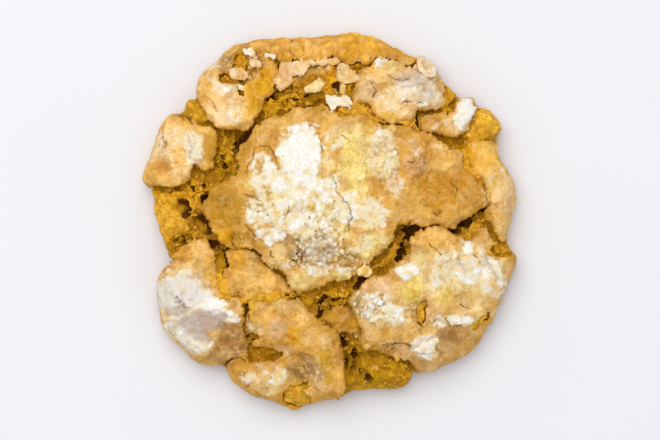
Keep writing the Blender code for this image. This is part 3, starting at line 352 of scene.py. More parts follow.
# Patches of colour on the crust, painted in order: (colour, x, y, across, up, turn, strength)
PATCHES = [
    ("cream", -5.0, 4.0, 12.5, 11.0, 0, 0.85), ("pale_lemon", -2.0, -1.0, 6.0, 5.0, 0, 0.5),
    ("khaki", -23.0, 2.0, 4.6, 7.0, 0, 0.9), ("tan", -18.5, 12.0, 3.0, 8.0, -30, 0.5),
    ("gold", -25.6, -1.6, 2.4, 3.0, 20, 0.5), ("khaki", -18.0, 15.5, 1.6, 3.6, -30, 0.5),
    ("beige", -10.0, 22.0, 8.0, 2.0, 12, 0.3), ("beige", 3.0, 21.5, 6.0, 2.0, 0, 0.3),
    ("khaki", 10.0, 21.0, 5.0, 1.2, -8, 0.6), ("khaki", -1.5, 23.8, 4.0, 0.9, 0, 0.5),
    ("toast", 17.0, 13.0, 6.0, 6.0, 0, 0.55), ("amber", 25.0, 5.5, 6.0, 4.5, -20, 0.75),
    ("light_tan", 25.0, 13.5, 4.5, 3.5, -20, 0.8), ("tan", 18.0, 2.5, 4.5, 4.5, 0, 0.6),
    ("pale_lemon", 5.6, 11.5, 3.6, 6.4, 0, 0.95), ("lemon", 5.0, 13.5, 2.4, 3.2, 0, 0.5),
    ("pale_lemon", 5.0, 18.0, 5.0, 2.6, 0, 0.8), ("lemon", 4.4, 6.8, 1.8, 1.6, 0, 0.6),
    ("cream", 11.5, 14.5, 3.6, 6.0, 0, 0.85), ("pale_lemon", 9.0, -5.8, 3.4, 3.2, 30, 0.95),
    ("pale_lemon", 1.5, -12.2, 3.4, 2.0, 0, 0.8), ("pale_lemon", -6.5, -13.0, 3.6, 2.4, 0, 0.7),
    ("lemon", -11.5, -9.5, 3.0, 1.6, -40, 0.5), ("cream", 8.5, 1.5, 4.0, 4.0, 0, 0.7),
    ("brown", -9.0, -4.5, 3.0, 2.0, 0, 0.55), ("brown", -5.8, -8.6, 1.0, 1.6, 0, 0.8),
    ("brown", 3.2, -8.0, 2.4, 2.2, 0, 0.35), ("beige", -11.0, 5.4, 2.2, 0.9, 0, 0.7),
    ("lemon", -3.6, 4.6, 1.5, 3.4, -20, 0.6), ("pale_lemon", -11.5, 5.2, 3.0, 1.3, 0, 0.6),
    ("pale_lemon", -4.8, 9.8, 3.2, 1.6, 0, 0.6), ("pale_lemon", -1.8, 0.8, 2.8, 1.6, 30, 0.6),
    ("lemon", -17.0, 8.0, 1.6, 2.4, 0, 0.5), ("toast", 21.0, 13.5, 1.6, 1.4, 0, 0.4),
    ("gold", -20.0, -3.5, 5.0, 2.2, 0, 0.7), ("blush", -33.0, 14.5, 5.8, 6.2, 0, 0.65),
    ("pale", -30.2, 15.2, 1.8, 3.8, 0, 0.7), ("light_tan", -32.5, 13.5, 1.0, 2.4, 0, 0.6),
    ("mustard", -25.8, 16.0, 1.5, 4.8, 0, 0.9), ("toast", -36.6, 11.8, 1.3, 1.2, 0, 0.8),
    ("apricot", -34.0, 21.4, 2.6, 1.4, 0, 0.7), ("apricot", -39.0, 9.6, 2.0, 2.0, 0, 0.6),
    ("pale", -37.2, 16.8, 1.0, 1.8, 0, 0.4), ("blush", -24.0, 25.0, 5.4, 5.0, 0, 0.85),
    ("pale", -21.7, 28.8, 2.0, 0.9, 0, 0.8), ("blush", -24.0, 35.0, 2.8, 2.6, 30, 0.6),
    ("apricot", -27.8, 29.4, 1.6, 3.4, 0, 0.7), ("apricot", -24.6, 26.0, 1.8, 1.0, 0, 0.6),
    ("gold", -15.8, 28.4, 2.5, 6.6, 0, 0.95), ("gold", -14.2, 30.4, 2.0, 3.8, 0, 0.9),
    ("orange", -20.0, 34.6, 2.4, 2.6, 0, 0.8), ("orange", -22.6, 31.2, 1.9, 1.2, 30, 0.85),
    ("gold", -17.0, 33.4, 1.8, 2.2, 0, 0.7), ("light_tan", -12.0, 39.0, 8.0, 1.6, 0, 0.5),
    ("orange", 6.0, 36.5, 3.6, 2.4, 0, 0.45), ("orange", 13.0, 38.0, 5.0, 1.8, -20, 0.5),
    ("apricot", -2.0, 38.5, 4.0, 2.0, 0, 0.6), ("light_tan", 9.5, 29.5, 2.8, 4.8, 0, 0.8),
    ("cream", 15.0, 35.0, 4.0, 1.6, -20, 0.7), ("rosy", 16.7, 31.6, 2.6, 1.9, 0, 0.6),
    ("pale", 18.6, 28.2, 4.6, 2.8, 0, 0.9), ("pale", 22.6, 26.4, 2.0, 2.4, 0, 0.8),
    ("blush", 15.6, 25.0, 4.4, 2.4, 0, 0.85), ("mustard", 12.6, 22.4, 2.6, 1.2, 0, 0.85),
    ("light_tan", 24.2, 30.2, 1.6, 1.6, 0, 0.7), ("pale", 30.0, 25.2, 1.8, 1.8, 0, 0.9),
    ("blush", 28.6, 21.2, 3.0, 2.6, 0, 0.85), ("tan", 22.5, 21.0, 2.9, 2.2, 0, 0.8),
    ("apricot", 34.0, 13.6, 2.8, 4.0, 0, 0.6), ("straw", 38.8, 6.0, 3.0, 5.0, 0, 0.9),
    ("mustard", 34.8, 6.5, 1.4, 2.4, 0, 0.6), ("straw", 39.0, -1.5, 2.0, 3.0, 0, 0.6),
    ("blush", 23.4, 16.2, 1.8, 1.4, 0, 0.6), ("rosy", 18.6, 12.0, 2.8, 2.6, 30, 0.4),
    ("tan", 16.0, 17.0, 3.2, 2.2, 0, 0.5), ("cream", 24.5, -11.0, 8.5, 5.5, -20, 0.85),
    ("apricot", 22.5, -4.4, 4.4, 2.8, 0, 0.8), ("blush", 33.6, -4.6, 2.4, 2.4, 0, 0.7),
    ("tan", 34.0, -3.8, 0.9, 1.0, 0, 0.6), ("blush", 27.6, -9.4, 3.4, 2.0, -20, 0.6),
    ("apricot", 9.6, 28.0, 2.6, 3.4, 0, 0.8), ("blush", 9.6, 28.0, 2.6, 3.4, 0, 0.4),
    ("apricot", -10.0, 38.8, 6.0, 1.8, 0, 0.8), ("apricot", 39.4, 5.0, 2.2, 4.8, 0, 0.6),
    ("bright_gold", 34.2, 14.0, 3.0, 3.2, 0, 0.5), ("blush", 39.6, 4.6, 2.2, 4.8, 0, 0.8),
    ("blush", 9.0, 28.0, 3.0, 3.0, 0, 0.4), ("bright_gold", -10.0, 38.8, 5.0, 1.8, 0, 0.35),
    ("pale", 9.0, 28.0, 3.0, 3.0, 0, 0.4), ("bright_gold", 5.0, 38.8, 5.0, 2.0, 0, 0.35),
    ("brown", -7.0, -33.0, 4.5, 3.2, 0, 0.5), ("brown", -21.5, -27.5, 3.4, 3.4, 0, 0.3),
    ("apricot", 24.0, -4.0, 5.0, 2.6, -20, 0.5), ("blush", 29.0, -9.0, 3.0, 2.4, 0, 0.4),
    ("lemon", 17.6, -15.4, 2.7, 3.2, -10, 0.85), ("lemon", 25.2, -17.4, 2.4, 2.3, 0, 0.75),
    ("straw", 31.0, -17.3, 3.2, 1.9, 0, 0.9), ("straw", 37.8, -13.0, 1.5, 5.6, -10, 0.8),
    ("rosy", 10.0, -14.8, 3.4, 2.2, 0, 0.7), ("apricot", 19.0, -24.4, 3.5, 2.2, 0, 0.8),
    ("light_tan", 11.8, -26.4, 4.0, 2.6, -10, 0.8), ("taupe", 26.9, -25.8, 4.2, 2.8, 20, 0.95),
    ("brown", 25.6, -25.0, 2.0, 1.6, 0, 0.7), ("taupe", 17.8, -29.8, 3.6, 1.8, -10, 0.8),
    ("straw", 32.6, -22.4, 3.0, 3.0, 30, 0.6), ("tan", 29.6, -29.6, 5.0, 1.8, 35, 0.6),
    ("toast", 25.6, -8.6, 1.0, 0.9, 0, 0.6), ("gold", 34.6, -23.8, 1.2, 2.4, -35, 0.6),
    ("mustard", 21.6, -7.0, 1.4, 2.6, -20, 0.4), ("brown", -21.5, -27.5, 3.9, 4.6, 0, 1.0),
    ("grey", -27.0, -22.0, 4.0, 2.4, 20, 0.7), ("taupe", -20.4, -24.4, 2.4, 2.0, 0, 0.6),
    ("cream", -36.7, -21.6, 0.9, 3.0, 5, 0.8), ("grey", -30.0, -24.5, 3.0, 1.6, -30, 0.5),
    ("tan", -28.5, -7.5, 4.0, 2.4, 0, 0.7), ("apricot", -30.5, -6.6, 2.6, 1.8, 0, 0.6),
    ("gold", -26.2, -12.0, 1.2, 4.0, 10, 0.6), ("gold", -38.3, -14.5, 1.2, 3.4, 0, 0.7),
    ("taupe", -24.5, -31.0, 3.5, 1.2, 0, 0.5), ("mustard", -27.0, -31.8, 2.4, 0.9, -20, 0.7),
    ("beige", -22.0, -18.2, 2.2, 1.2, 0, 0.7), ("mustard", -22.6, -16.0, 1.4, 0.8, 0, 0.8),
    ("gold", -20.4, -8.6, 2.6, 2.4, 0, 0.6), ("brown", -16.4, -8.2, 1.9, 1.3, -30, 0.5),
    ("straw", -17.0, -10.8, 1.2, 1.7, 0, 0.7), ("apricot", -12.6, -13.4, 3.4, 2.2, -30, 0.4),
    ("tan", -20.6, -13.6, 2.2, 2.0, 0, 0.5), ("mustard", -16.6, -16.6, 2.6, 1.1, 0, 0.7),
    ("mustard", -17.0, -19.4, 1.4, 2.4, 0, 0.8), ("beige", -15.2, -19.6, 1.2, 1.4, 0, 0.8),
    ("straw", -9.4, -18.8, 3.8, 2.2, 0, 0.8), ("apricot", -5.2, -22.0, 3.0, 1.8, -45, 0.7),
    ("taupe", -16.8, -23.6, 2.6, 1.6, 0, 0.7), ("rosy", -11.4, -23.8, 2.2, 2.4, 0, 0.6),
    ("gold", -7.6, -26.0, 1.6, 2.6, 20, 0.85), ("apricot", -3.0, -25.6, 2.6, 2.8, -30, 0.7),
    ("straw", -1.2, -27.0, 1.4, 1.8, 0, 0.5), ("rosy", -10.0, -28.6, 2.2, 1.2, 0, 0.7),
    ("olive", -0.6, -32.0, 1.8, 4.4, 0, 0.85), ("taupe", -5.6, -33.2, 4.2, 3.2, 0, 0.95),
    ("brown", -5.8, -29.8, 2.2, 0.8, -10, 0.6), ("blush", -14.0, -33.2, 4.6, 2.0, 0, 0.8),
    ("cream", -12.4, -36.0, 3.4, 1.8, 0, 0.8), ("tan", -20.2, -34.2, 2.4, 2.6, 0, 0.7),
    ("gold", -7.2, -40.2, 4.2, 3.0, 0, 0.8), ("khaki", -18.6, -3.6, 2.8, 3.0, 0, 0.6),
    ("light_tan", -19.2, -2.2, 1.3, 1.3, 0, 0.7), ("gold", -24.0, -3.0, 2.2, 3.2, 20, 0.7),
    ("straw", -12.0, -8.0, 3.0, 3.6, 30, 0.7), ("pale_lemon", 10.6, -5.6, 2.8, 2.2, 30, 0.8),
    ("brown", -6.6, -33.4, 3.2, 2.4, 0, 0.5), ("taupe", -9.2, -4.2, 1.7, 1.4, 0, 0.8),
    ("taupe", -8.0, -8.0, 1.6, 2.2, 0, 0.7),
]

# Patches of colour on the bare crumb
CRUMB_PATCHES = [
    ("moss", -22.6, 14.0, 2.8, 6.0, 0, 0.75), ("moss", -11.0, 25.2, 5.0, 2.6, 20, 0.3),
    ("honey", 12.0, 22.4, 8.5, 2.4, -10, 0.9), ("honey", 5.0, 24.6, 3.0, 2.0, 0, 0.7),
    ("bright_gold", -35.4, 0.6, 4.2, 4.2, 0, 0.45), ("honey", -33.0, 1.0, 5.0, 3.6, 0, 0.6),
    ("honey", -30.0, 24.5, 2.4, 3.0, 0, 0.5), ("bright_gold", 35.0, 21.0, 3.6, 4.6, 0, 0.9),
    ("rust", 33.0, 19.0, 1.2, 2.4, 0, 0.5), ("rust", -5.0, 31.3, 3.8, 1.3, 10, 0.85),
    ("rust", 0.6, 33.2, 1.2, 1.3, 0, 0.85), ("straw", -2.4, 33.4, 2.6, 0.8, 10, 0.85),
    ("straw", -7.0, 33.0, 2.6, 2.2, 20, 0.7), ("straw", 1.6, 28.2, 1.4, 1.4, 0, 0.6),
    ("honey", 14.0, -6.6, 3.4, 5.0, -35, 0.45), ("moss", 1.0, -17.0, 5.6, 2.2, 15, 0.6),
    ("moss", 9.5, -32.0, 7.0, 5.0, 0, 0.95), ("honey", 31.8, -2.6, 3.2, 1.6, 20, 0.8),
    ("rust", 38.6, -6.4, 2.4, 1.6, 0, 0.4), ("rust", -19.6, 34.6, 2.0, 2.6, 0, 0.7),
    ("rust", -22.0, 30.6, 2.4, 1.0, 0, 0.7), ("honey", -23.0, -14.6, 2.6, 3.0, 0, 0.8),
    ("honey", -14.0, -17.2, 6.0, 1.6, 0, 0.8), ("honey", 31.6, 11.0, 3.0, 8.0, -30, 0.8),
    ("moss", -34.6, -6.6, 1.8, 2.4, 0, 0.6), ("straw", -26.0, -12.2, 1.0, 4.0, 8, 0.5),
    ("gold", -15.0, -29.8, 3.4, 1.6, 0, 0.6), ("bright_gold", -7.4, -40.0, 3.6, 2.4, -10, 0.6),
    ("bright_gold", 20.3, -19.6, 1.6, 3.6, -5, 0.6), ("bright_gold", 33.6, -22.8, 1.2, 3.0, -35, 0.6),
]

# Powdered sugar: (x, y, across, up, turn, amount)
SUGAR = [
    (-6.5, 14.2, 4.9, 6.3, -14, 1.3), (-5.5, 6.0, 7.8, 5.5, 0, 0.93), (-3.5, 0.5, 7.8, 4.6, 0, 0.9),
    (-13.6, 8.5, 3.8, 6.0, 20, 0.8), (-14.8, 1.0, 3.8, 4.5, 30, 0.8), (-12.5, -2.5, 4.0, 3.0, 0, 0.75),
    (-3.0, -6.0, 5.4, 4.8, 0, 0.85), (-2.4, -10.6, 2.6, 2.2, 0, 0.85), (3.0, -8.5, 3.8, 3.5, 0, 0.6),
    (3.5, 2.0, 3.2, 4.5, 0, 0.72), (11.5, 14.5, 3.0, 6.0, 0, 0.58), (9.0, 1.0, 4.0, 4.0, 0, 0.5),
    (1.0, 17.5, 3.0, 2.5, 0, 0.45), (8.0, -5.0, 3.0, 3.0, 0, 0.35), (14.0, 8.0, 2.2, 4.0, 0, 0.42),
    (18.0, 15.0, 2.5, 2.5, 0, 0.32), (-9.0, -10.0, 2.5, 2.0, 0, 0.42), (-31.8, -15.5, 5.0, 4.6, -20, 1.0),
    (-27.0, -18.0, 5.6, 2.6, -30, 1.1), (-32.6, -23.2, 3.2, 3.4, 0, 0.8),
    (-30.6, -27.0, 4.2, 1.8, -30, 0.8), (-22.0, -21.0, 3.2, 1.5, -20, 0.8),
    (30.2, -5.8, 1.5, 1.9, 0, 1.15), (34.6, -11.0, 2.6, 5.2, 14, 0.78), (26.4, -10.5, 5.6, 3.6, 0, 0.54),
    (30.4, -12.0, 2.4, 2.8, 0, 0.75), (9.5, -19.0, 4.4, 3.6, 0, 0.95), (14.0, -20.6, 3.0, 2.4, 0, 0.75),
    (16.6, -11.2, 3.2, 1.8, 0, 0.85), (27.6, -21.8, 3.4, 1.3, -10, 0.75), (23.0, -12.5, 1.6, 2.4, 0, 0.7),
    (20.6, -27.4, 3.0, 1.9, 20, 1.1), (24.0, -22.0, 2.6, 1.6, 0, 0.6), (36.5, -15.0, 2.0, 3.0, 0, 0.5),
    (7.0, -16.5, 2.4, 1.6, 0, 0.5), (19.0, 28.4, 4.8, 3.0, 0, 0.5), (21.8, 26.0, 2.8, 2.4, 0, 0.54),
    (11.5, 35.2, 2.6, 1.3, 0, 0.85), (21.5, 32.6, 2.6, 2.0, -30, 0.6), (14.0, 26.5, 3.0, 3.0, 0, 0.36),
    (30.2, 23.6, 2.0, 3.6, 0, 1.0), (-29.2, 15.6, 2.2, 3.6, 0, 0.6), (-33.5, 18.5, 3.4, 2.4, 0, 0.36),
    (-36.8, 16.0, 1.6, 2.6, 0, 0.32), (-22.0, 23.0, 3.4, 2.6, 0, 0.42), (-23.5, 28.8, 2.2, 1.6, 0, 0.62),
    (-25.5, 32.0, 3.0, 3.0, 0, 0.34), (-17.6, 36.8, 2.2, 1.2, 0, 0.8), (-11.6, -34.0, 2.6, 1.8, 0, 0.55),
    (-17.0, -34.5, 3.0, 1.6, 0, 0.42), (-17.0, -24.0, 2.6, 1.6, 0, 0.36), (36.5, 9.0, 2.6, 4.0, 0, 0.26),
    (-4.0, -34.5, 3.0, 2.0, 0, 0.3), (24.0, 21.0, 3.0, 1.6, 0, 0.3),
]

# Fine cracks in the crust
CRACKS = [
    [(-2.3, 18.8), (-2.1, 17.0), (-1.6, 15.0)], [(2.5, 18.3), (4.0, 17.3), (5.0, 16.5)],
    [(0.5, 9.5), (1.0, 8.3), (1.5, 7.5), (1.4, 6.0), (2.3, 5.0), (3.5, 3.8), (4.5, 2.2), (4.6, 0.0),
     (3.8, -2.5)], [(-18.5, 5.7), (-16.0, 4.7), (-14.8, 3.7)],
    [(-9.0, 3.5), (-8.8, 2.3), (-9.3, 1.0), (-9.8, 0.0)],
    [(-16.5, 15.5), (-15.0, 16.1), (-13.5, 15.8), (-12.3, 14.5), (-11.2, 12.0), (-11.2, 10.5)],
    [(-16.4, 15.5), (-16.7, 13.5), (-17.7, 11.8), (-18.2, 10.0)],
    [(-18.2, -1.0), (-17.2, -2.5), (-16.0, -3.8), (-14.6, -5.0)],
    [(-7.3, -5.0), (-6.8, -6.2), (-7.5, -7.5), (-7.3, -8.3)], [(-7.8, -8.7), (-7.2, -9.7)],
    [(-12.9, -6.5), (-12.6, -8.3)], [(-1.0, -5.0), (-0.3, -5.5)], [(-1.2, -6.5), (0.0, -7.2)],
    [(-21.5, -3.5), (-21.5, -5.0), (-20.8, -6.2), (-17.5, -6.3)],
    [(-37.2, 19.3), (-36.6, 17.2), (-36.0, 15.3)], [(-34.0, -18.0), (-32.5, -18.2), (-31.8, -19.3)],
    [(-33.4, -16.6), (-32.6, -18.1), (-33.4, -19.8)], [(-18.5, -19.5), (-18.2, -20.6), (-18.0, -21.8)],
    [(-23.6, -32.4), (-22.0, -31.3), (-18.5, -31.9)], [(-18.5, -37.2), (-16.0, -38.2)],
    [(21.5, -5.2), (24.3, -7.8)], [(31.5, -7.7), (32.5, -9.3)], [(28.5, -18.6), (31.0, -19.8)],
    [(23.2, -28.5), (24.5, -29.3)], [(16.0, 25.7), (19.0, 25.7), (20.5, 25.4)],
    [(25.1, -21.5), (26.2, -23.0), (28.9, -23.2), (31.5, -23.8)], [(16.5, 12.5), (18.0, 12.2)],
    [(22.6, 1.4), (23.4, 0.9), (24.2, 1.6), (23.6, 2.2)], [(-8.5, 40.3), (-9.0, 38.0), (-8.2, 36.8)],
    [(-5.7, 40.0), (-6.0, 38.0)], [(11.3, -30.0), (13.0, -27.8), (16.0, -27.2), (18.6, -28.6)],
    [(-15.7, -8.6), (-13.4, -10.6), (-12.3, -11.8)], [(-5.6, -32.6), (-5.3, -33.4)],
    [(20.8, 23.4), (19.6, 22.3), (19.8, 20.9), (20.9, 19.7)], [(33.4, 8.6), (34.6, 6.4), (35.6, 3.0)],
    [(26.6, 8.0), (27.6, 6.6), (27.2, 5.2)], [(-27.2, 27.0), (-25.4, 25.4), (-24.8, 23.6)],
    [(12.5, 31.5), (15.0, 30.6), (17.4, 31.2)], [(8.6, 30.4), (10.0, 28.6), (9.6, 26.8)],
]

# Loose flakes of crust: (colour, height over the dough around, outline)
FLAKES = {
    "spoon": ("cream", 0.7, [
        (-5.7, 29.7), (-3.4, 30.6), (-2.3, 31.3), (-1.0, 30.4), (-1.9, 28.9), (-3.2, 28.2), (-5.4, 28.4)]),
    "dumbbell": ("white", 1.0, [
        (-1.2, 27.1), (0.3, 27.3), (3.6, 26.9), (4.8, 25.4), (4.0, 24.3), (1.6, 24.8), (0.3, 23.6)]),
    "triangle": ("beige", 0.9, [
        (1.9, 34.2), (4.1, 33.8), (5.6, 32.4), (6.8, 30.7), (5.0, 30.0), (2.4, 30.1), (1.5, 32.0)]),
    "strip": ("beige", 0.6, [(2.3, 30.2), (3.3, 30.0), (3.2, 27.2), (2.4, 27.2)]),
    "ridge": ("pink", 0.9, [
        (-12.4, 30.6), (-10.9, 28.6), (-8.7, 29.7), (-8.3, 31.8), (-6.1, 31.8), (-4.1, 34.1),
        (1.6, 34.3), (1.4, 36.2), (-3.0, 35.4), (-6.8, 35.6), (-10.0, 34.9), (-11.4, 32.6)]),
    "chip_a": ("pink", 0.75, [(-22.0, 33.0), (-19.6, 33.3), (-18.0, 31.6), (-19.2, 30.6), (-21.6, 31.2)]),
    "chip_b": ("white", 0.65, [(-18.9, 37.4), (-16.6, 37.2), (-16.3, 36.0), (-18.4, 36.0)]),
    "chip_c": ("pink", 0.65, [(-17.5, 35.1), (-15.2, 34.8), (-15.0, 33.5), (-17.2, 33.4)]),
    "chip_d": ("white", 0.6, [(-14.5, 37.0), (-12.6, 36.8), (-12.6, 36.0), (-14.3, 35.9)]),
    "chip_e": ("cream", 0.6, [(-20.2, 29.6), (-18.9, 29.4), (-19.0, 28.2), (-20.1, 28.6)]),
    "ring": ("pale", 0.9, [(18.9, 34.6), (21.2, 35.2), (23.2, 33.0), (22.6, 31.2), (20.0, 31.6)]),
    "curl": ("white", 1.0, [
        (18.5, -28.4), (19.2, -27.3), (20.3, -26.2), (23.3, -25.8), (23.0, -28.2), (21.2, -28.9)]),
    "rim_flake": ("tan", 0.7, [(-5.2, -37.4), (-3.6, -37.0), (-2.4, -38.2), (-3.4, -39.2), (-5.0, -38.6)]),
    "tip": ("pale_lemon", 0.8, [(5.8, -10.6), (7.8, -10.0), (9.2, -11.4), (8.4, -12.6), (6.2, -12.2)]),
}

rng = random.Random(7)


def ramp(value):
    """0 below 0, 1 above 1, smooth between."""
    value = np.clip(value, 0.0, 1.0)
    return value * value * (3 - 2 * value)


def closed_curve(points, steps=CURVE_STEPS):
    """Points of a smooth closed curve that passes through the given ones."""
    ends = np.array(points, float)
    before, after, later = np.roll(ends, 1, 0), np.roll(ends, -1, 0), np.roll(ends, -2, 0)
    t = (np.arange(steps) / steps)[None, :, None]
    a, b, c, d = (side[:, None, :] for side in (before, ends, after, later))
    curve = 0.5 * (2 * b + (c - a) * t + (2 * a - 5 * b + 4 * c - d) * t**2 + (3 * b - a - 3 * c + d) * t**3)
    return curve.reshape(-1, 2)


def bell(distance, width):
    """1 at no distance, and near 0 from twice the width on."""
    return np.exp(-((distance / width) ** 2))


def fade(distance, width):
    """1 at no distance, falling steadily away."""
    return np.exp(-distance / width)


def signed_distance(at, outline, margin=FAR):
    """How far each point lies inside an outline. It is negative outside, down to minus the margin."""
    distance = np.full(len(at), -margin)
    low, high = outline.min(0) - margin, outline.max(0) + margin
    near = np.flatnonzero(((at > low) & (at < high)).all(1))
    points = at[near]
    nearest = np.full(len(points), np.inf)
    inside = np.zeros(len(points), bool)
    for start, end in zip(outline, np.roll(outline, -1, 0)):
        side, reach = end - start, points - start
        share = np.clip(reach @ side / (side @ side), 0.0, 1.0)
        away = reach - share[:, None] * side
        nearest = np.minimum(nearest, (away * away).sum(1))
        if side[1]:
            crosses = (start[1] > points[:, 1]) != (end[1] > points[:, 1])
            inside ^= crosses & (points[:, 0] < start[0] + (points[:, 1] - start[1]) * side[0] / side[1])
    nearest = np.sqrt(nearest)
    distance[near] = np.maximum(np.where(inside, nearest, -nearest), -margin)
    return distance


OUTLINE = closed_curve(RIM)
# The solid stands with its box centred on the origin
MIDDLE = (OUTLINE.min(0) + OUTLINE.max(0)) / 2
RIM_BEARINGS = np.arctan2(OUTLINE[:, 1], OUTLINE[:, 0])
RIM_ORDER = np.argsort(RIM_BEARINGS)


def rim_radius(bearing):
    """Distance from the middle to the outline in each direction."""
    reach = np.hypot(*OUTLINE[RIM_ORDER].T)
    return np.interp(bearing, RIM_BEARINGS[RIM_ORDER], reach, period=2 * math.pi)


def quarter_length(across, up):
    """Length of a quarter of an ellipse."""
    return math.pi / 4 * (3 * (across + up) - math.sqrt((3 * across + up) * (across + 3 * up))) / 2


UPPER_ARC = quarter_length(RIM_ROUNDING, SHOULDER_HEIGHT - RIM_HEIGHT)
LOWER_ARC = quarter_length(FOOT_INSET, RIM_HEIGHT)


def unrolled(plan):
    """Where points seen from above lie once the rim is rolled out flat round the dome."""
    radius, bearing = np.hypot(*plan.T), np.arctan2(plan[:, 1], plan[:, 0])
    rim = rim_radius(bearing)
    inner = rim - RIM_ROUNDING
    share = np.clip((radius - inner) / RIM_ROUNDING, 0.0, 1.0)
    along = inner + UPPER_ARC * np.arcsin(share) * 2 / math.pi + np.maximum(radius - rim, 0)
    along = np.where(radius < inner, radius, along)
    return along[:, None] * np.stack([np.cos(bearing), np.sin(bearing)], 1)


def dome(along, bearing):
    """Radius, height and outward normal of the smooth dough at a distance along its skin from the top."""
    rim = rim_radius(bearing)
    inner = rim - RIM_ROUNDING
    flat = np.clip(along / inner, 0.0, 1.0)
    upper = np.clip((along - inner) / UPPER_ARC, 0.0, 1.0) * math.pi / 2
    lower = np.clip((along - inner - UPPER_ARC) / LOWER_ARC, 0.0, 1.0) * math.pi / 2
    radius = inner * flat + RIM_ROUNDING * np.sin(upper) - FOOT_INSET * (1 - np.cos(lower))
    height = DOME_HEIGHT - (DOME_HEIGHT - SHOULDER_HEIGHT) * flat**2.2
    height -= (SHOULDER_HEIGHT - RIM_HEIGHT) * (1 - np.cos(upper)) + RIM_HEIGHT * np.sin(lower)
    lean = np.arctan(0.32 * flat**1.2) * (1 - upper * 2 / math.pi)
    tilt = lean + upper + lower
    return radius, height, np.stack([np.sin(tilt), np.cos(tilt)], 1)


def wobble(at, size, seed):
    """Smooth noise from -1 to 1 whose bumps are about size across."""
    return np.array([noise.noise(Vector((x / size, y / size, seed))) for x, y in at])


def swell(places, size, seed):
    """The same through space, so that it also runs evenly down the sides."""
    return np.array([noise.noise(Vector(place) / size + Vector((seed, -seed, seed))) for place in places])


def lumps(places, size, seed):
    """0 in the seams between rounded lumps about size across, towards 1 on their tops."""
    found = np.empty(len(places))
    shift = Vector((seed, seed * 1.7, -seed))
    for index, place in enumerate(places):
        near = noise.voronoi(Vector(place) / size + shift)[0]
        found[index] = near[1] - near[0]
    return np.clip(found * 1.6, 0.0, 1.0)


def raggedness(at):
    """How far a broken edge wanders from its outline."""
    broad = 0.6 * wobble(at, 2.6, 3.1) + 0.45 * wobble(at, 1.3, 7.7)
    return broad + 0.4 * wobble(at, 0.75, 5.2) + 0.2 * wobble(at, 0.4, 6.4)


def coarse_lumps(at):
    return wobble(at, 3.4, 11.3) + 0.7 * wobble(at, 1.8, 17.9)


SKIN_OUTLINES = {name: unrolled(closed_curve(points)) for name, (_, _, points) in LOBES.items()}


def lobe_top(kind, level, inside, swellings):
    """Height of a lobe's top over the smooth dough, at a distance in from its outline."""
    inside = np.maximum(inside, 0)
    top = level + kind["swell"] * (1 - fade(inside, 4)) + kind["rough"] * swellings
    return top - kind["edge_drop"] * fade(inside, kind["edge_width"])


def oval(at, x, y, across, up, turn):
    """Distance from the middle of an oval on the skin, 1 at its edge."""
    away = at - unrolled(np.array([[x, y]]))
    cos, sin = math.cos(math.radians(turn)), math.sin(math.radians(turn))
    along, over = away[:, 0] * cos + away[:, 1] * sin, away[:, 1] * cos - away[:, 0] * sin
    return np.hypot(along / across, over / up)


def route_distance(at, route, most):
    """Distance from a line on the skin, up to the most."""
    path = unrolled(np.array(route, float))
    nearest = np.full(len(at), most)
    near = np.flatnonzero(((at > path.min(0) - most) & (at < path.max(0) + most)).all(1))
    for start, end in zip(path, path[1:]):
        side, reach = end - start, at[near] - start
        share = np.clip(reach @ side / (side @ side), 0.0, 1.0)
        nearest[near] = np.minimum(nearest[near], np.linalg.norm(reach - share[:, None] * side, axis=1))
    return nearest


def wandering(at):
    """Points of the skin, shifted a little so that lines drawn by them wander."""
    at = at + 0.4 * np.stack([wobble(at, 1.5, 81.0), wobble(at, 1.5, 83.0)], 1)
    return at + 0.22 * np.stack([wobble(at, 0.6, 85.0), wobble(at, 0.6, 87.0)], 1)


def gap_share(at):
    """1 in the middle of a narrow deep gap, 0 beside it."""
    share = np.zeros(len(at))
    shifted = wandering(wandering(at))
    for half_width, route in GAPS:
        share = np.maximum(share, 1 - route_distance(shifted, route, 3.0) / (1.15 * half_width))
    return ramp(1.2 * share)


def spread_of(at, ovals, seed):
    """Strongest of some soft ovals at each point of the skin."""
    amount = np.zeros(len(at))
    edge = 0.35 * wobble(at, 2.4, seed) + 0.25 * wobble(at, 1.0, seed + 1)
    for x, y, across, up, turn, most in ovals:
        amount = np.maximum(amount, most * ramp(1.4 * (1.3 - oval(at, x, y, across, up, turn) + edge)))
    return amount


def pits(at, ragged):
    """Depth of the torn places."""
    depth = np.zeros(len(at))
    for x, y, radius, deep in PITS:
        away = np.linalg.norm(at - unrolled(np.array([[x, y]])), axis=1)
        depth += deep * ramp(1.5 - (away + ragged) / radius)
    return depth


def windows(at, ragged):
    """How open the crust is, from 0 to over 1 in a hole, and how deep the hole is there."""
    open_share, depth = np.zeros(len(at)), np.zeros(len(at))
    for x, y, across, up, turn, deep in WINDOWS:
        from_edge = (1 - oval(at, x, y, across, up, turn)) * min(across, up)
        here = 0.5 + 1.2 * (from_edge + 0.75 * ragged)
        depth = np.where(here > open_share, deep, depth)
        open_share = np.maximum(open_share, here)
    return open_share, depth


